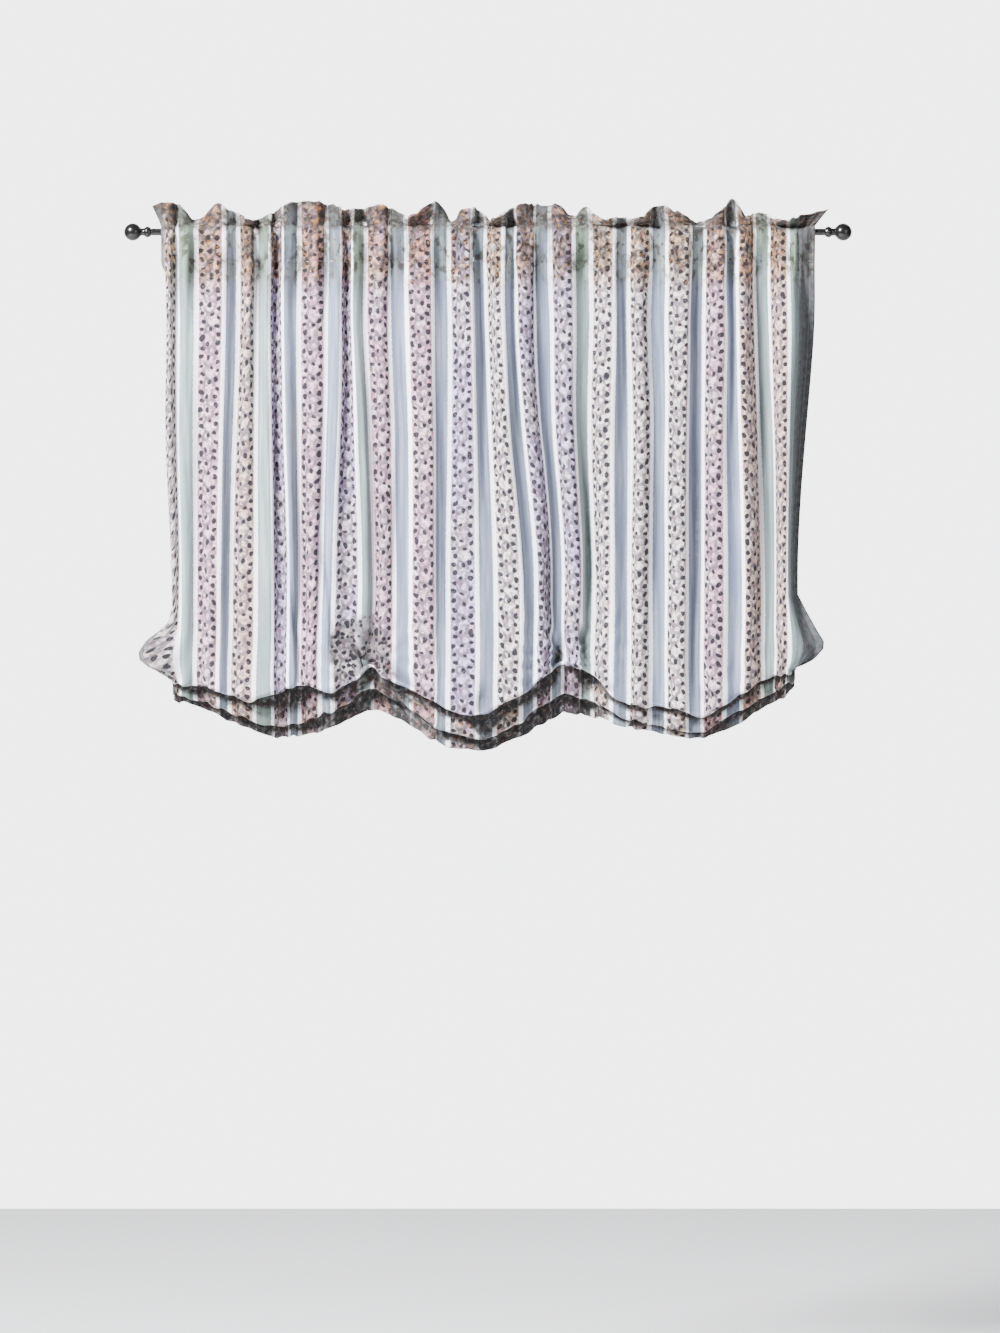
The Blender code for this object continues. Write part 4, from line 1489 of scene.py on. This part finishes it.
def fabric_material():
    """The cotton with its seams: two of the pocket, the hem's and the side hems'."""
    lower_seam = SEAM_ALONG / MM
    cotton = Cotton()
    cotton.print_stripes()
    cotton.print_borders()
    cotton.print_vine()
    cotton.stitch((
        ("along", -lower_seam + POCKET_FLAT / MM),
        ("along", -lower_seam),
        ("along", -lower_seam - (BODY_LENGTH - HEM_FLAT) / MM - STITCH_INSET),
        ("across", SIDE_HEM / MM - STITCH_INSET),
        ("across", (FLAT_WIDTH - SIDE_HEM) / MM + STITCH_INSET),
    ))
    cotton.warm_heading()
    cotton.shade_folds()
    return cotton.weave()


def metal_material():
    """Glossy black paint on metal, a little uneven and scuffed."""
    graph = Graph("rod_paint")
    object_place = graph.nodes.new("ShaderNodeTexCoord").outputs["Object"]
    place = graph.scaled(object_place, 1000.0)
    scuffs = graph.noise(graph.scaled(place, 0.15, 1.0, 1.0), 0.9, 6.0)
    worn = graph.times(graph.step(scuffs, 0.62, 0.75), 0.5)
    return graph.finish(
        Base_Color=graph.mix(worn, PAINT, WORN_PAINT),
        Roughness=graph.math("MULTIPLY_ADD", scuffs, 0.22, 0.14),
        Normal=graph.bump(graph.noise(place, 0.7, 3.0), 0.12 * MM, 0.5),
        Specular_IOR_Level=0.3,
        Coat_Weight=0.25,
        Coat_Roughness=0.12,
    )


# ---------------------------------------------------------------- stage


def add_camera():
    """Long lens, level, straight at the valance's face."""
    data = bpy.data.cameras.new("camera")
    data.sensor_width = SENSOR
    data.lens = SENSOR * VIEW_DISTANCE / (FRAME_PIXELS * PIXEL)
    data.clip_end = FARTHEST_SEEN
    camera = add_object("camera", data)
    camera.location = (VIEW_X, -VIEW_DISTANCE, VIEW_Z)
    camera.rotation_euler = (math.radians(90), 0.0, 0.0)
    bpy.context.scene.camera = camera


def add_area_light(name, place, size, watts, colour):
    """Soft square light aimed at the cloth."""
    data = bpy.data.lights.new(name, "AREA")
    data.size = size
    data.energy = watts
    data.color = colour
    light = add_object(name, data)
    light.location = place
    aim = np.array(LIGHT_AIM) - np.array(place)
    yaw = math.atan2(aim[1], aim[0]) - math.pi / 2
    tilt = math.atan2(aim[2], math.hypot(aim[0], aim[1]))
    light.rotation_euler = (math.pi / 2 + tilt, 0.0, yaw)


def add_floor():
    """Plain pale floor."""
    bpy.ops.mesh.primitive_plane_add(size=FLOOR_SIZE, location=(0.0, 0.0, FLOOR_HEIGHT))
    floor = bpy.context.object
    floor.name = "studio_floor"
    floor.data.materials.append(Graph("studio_floor").finish(Base_Color=FLOOR, Roughness=0.7))


def add_air():
    """Studio air, brighter behind the valance than in front of it."""
    world = bpy.data.worlds.new("studio")
    bpy.context.scene.world = world
    world.use_nodes = True
    nodes, links = world.node_tree.nodes, world.node_tree.links
    coordinates = nodes.new("ShaderNodeTexCoord")
    split = nodes.new("ShaderNodeSeparateXYZ")
    links.new(coordinates.outputs["Generated"], split.inputs[0])
    ramp = nodes.new("ShaderNodeMapRange")
    ramp.interpolation_type = "SMOOTHSTEP"
    for socket, value in zip(ramp.inputs[1:5], (*AIR_RISE, AIR_DIM, AIR_BRIGHT)):
        socket.default_value = value
    links.new(split.outputs[1], ramp.inputs["Value"])
    background = nodes["Background"]
    background.inputs["Color"].default_value = AIR
    links.new(ramp.outputs[0], background.inputs["Strength"])


# ---------------------------------------------------------------- assembly

add_camera()
add_floor()
add_air()
for light in LIGHTS:
    add_area_light(*light)

cloth, cloth_length = build_cloth()
cloth.data.materials.append(fabric_material())
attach(cloth, "root")
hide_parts("valance_cloth")

paint = metal_material()
for node_name, direction in (("finial_left", -1), ("finial_right", 1)):
    finial = build_finial(node_name + "_turned", direction)
    finial.data.materials.append(paint)
    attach(finial, "root")
    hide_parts(node_name)
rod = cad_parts["rod"]
rod.data.materials.clear()
rod.data.materials.append(paint)
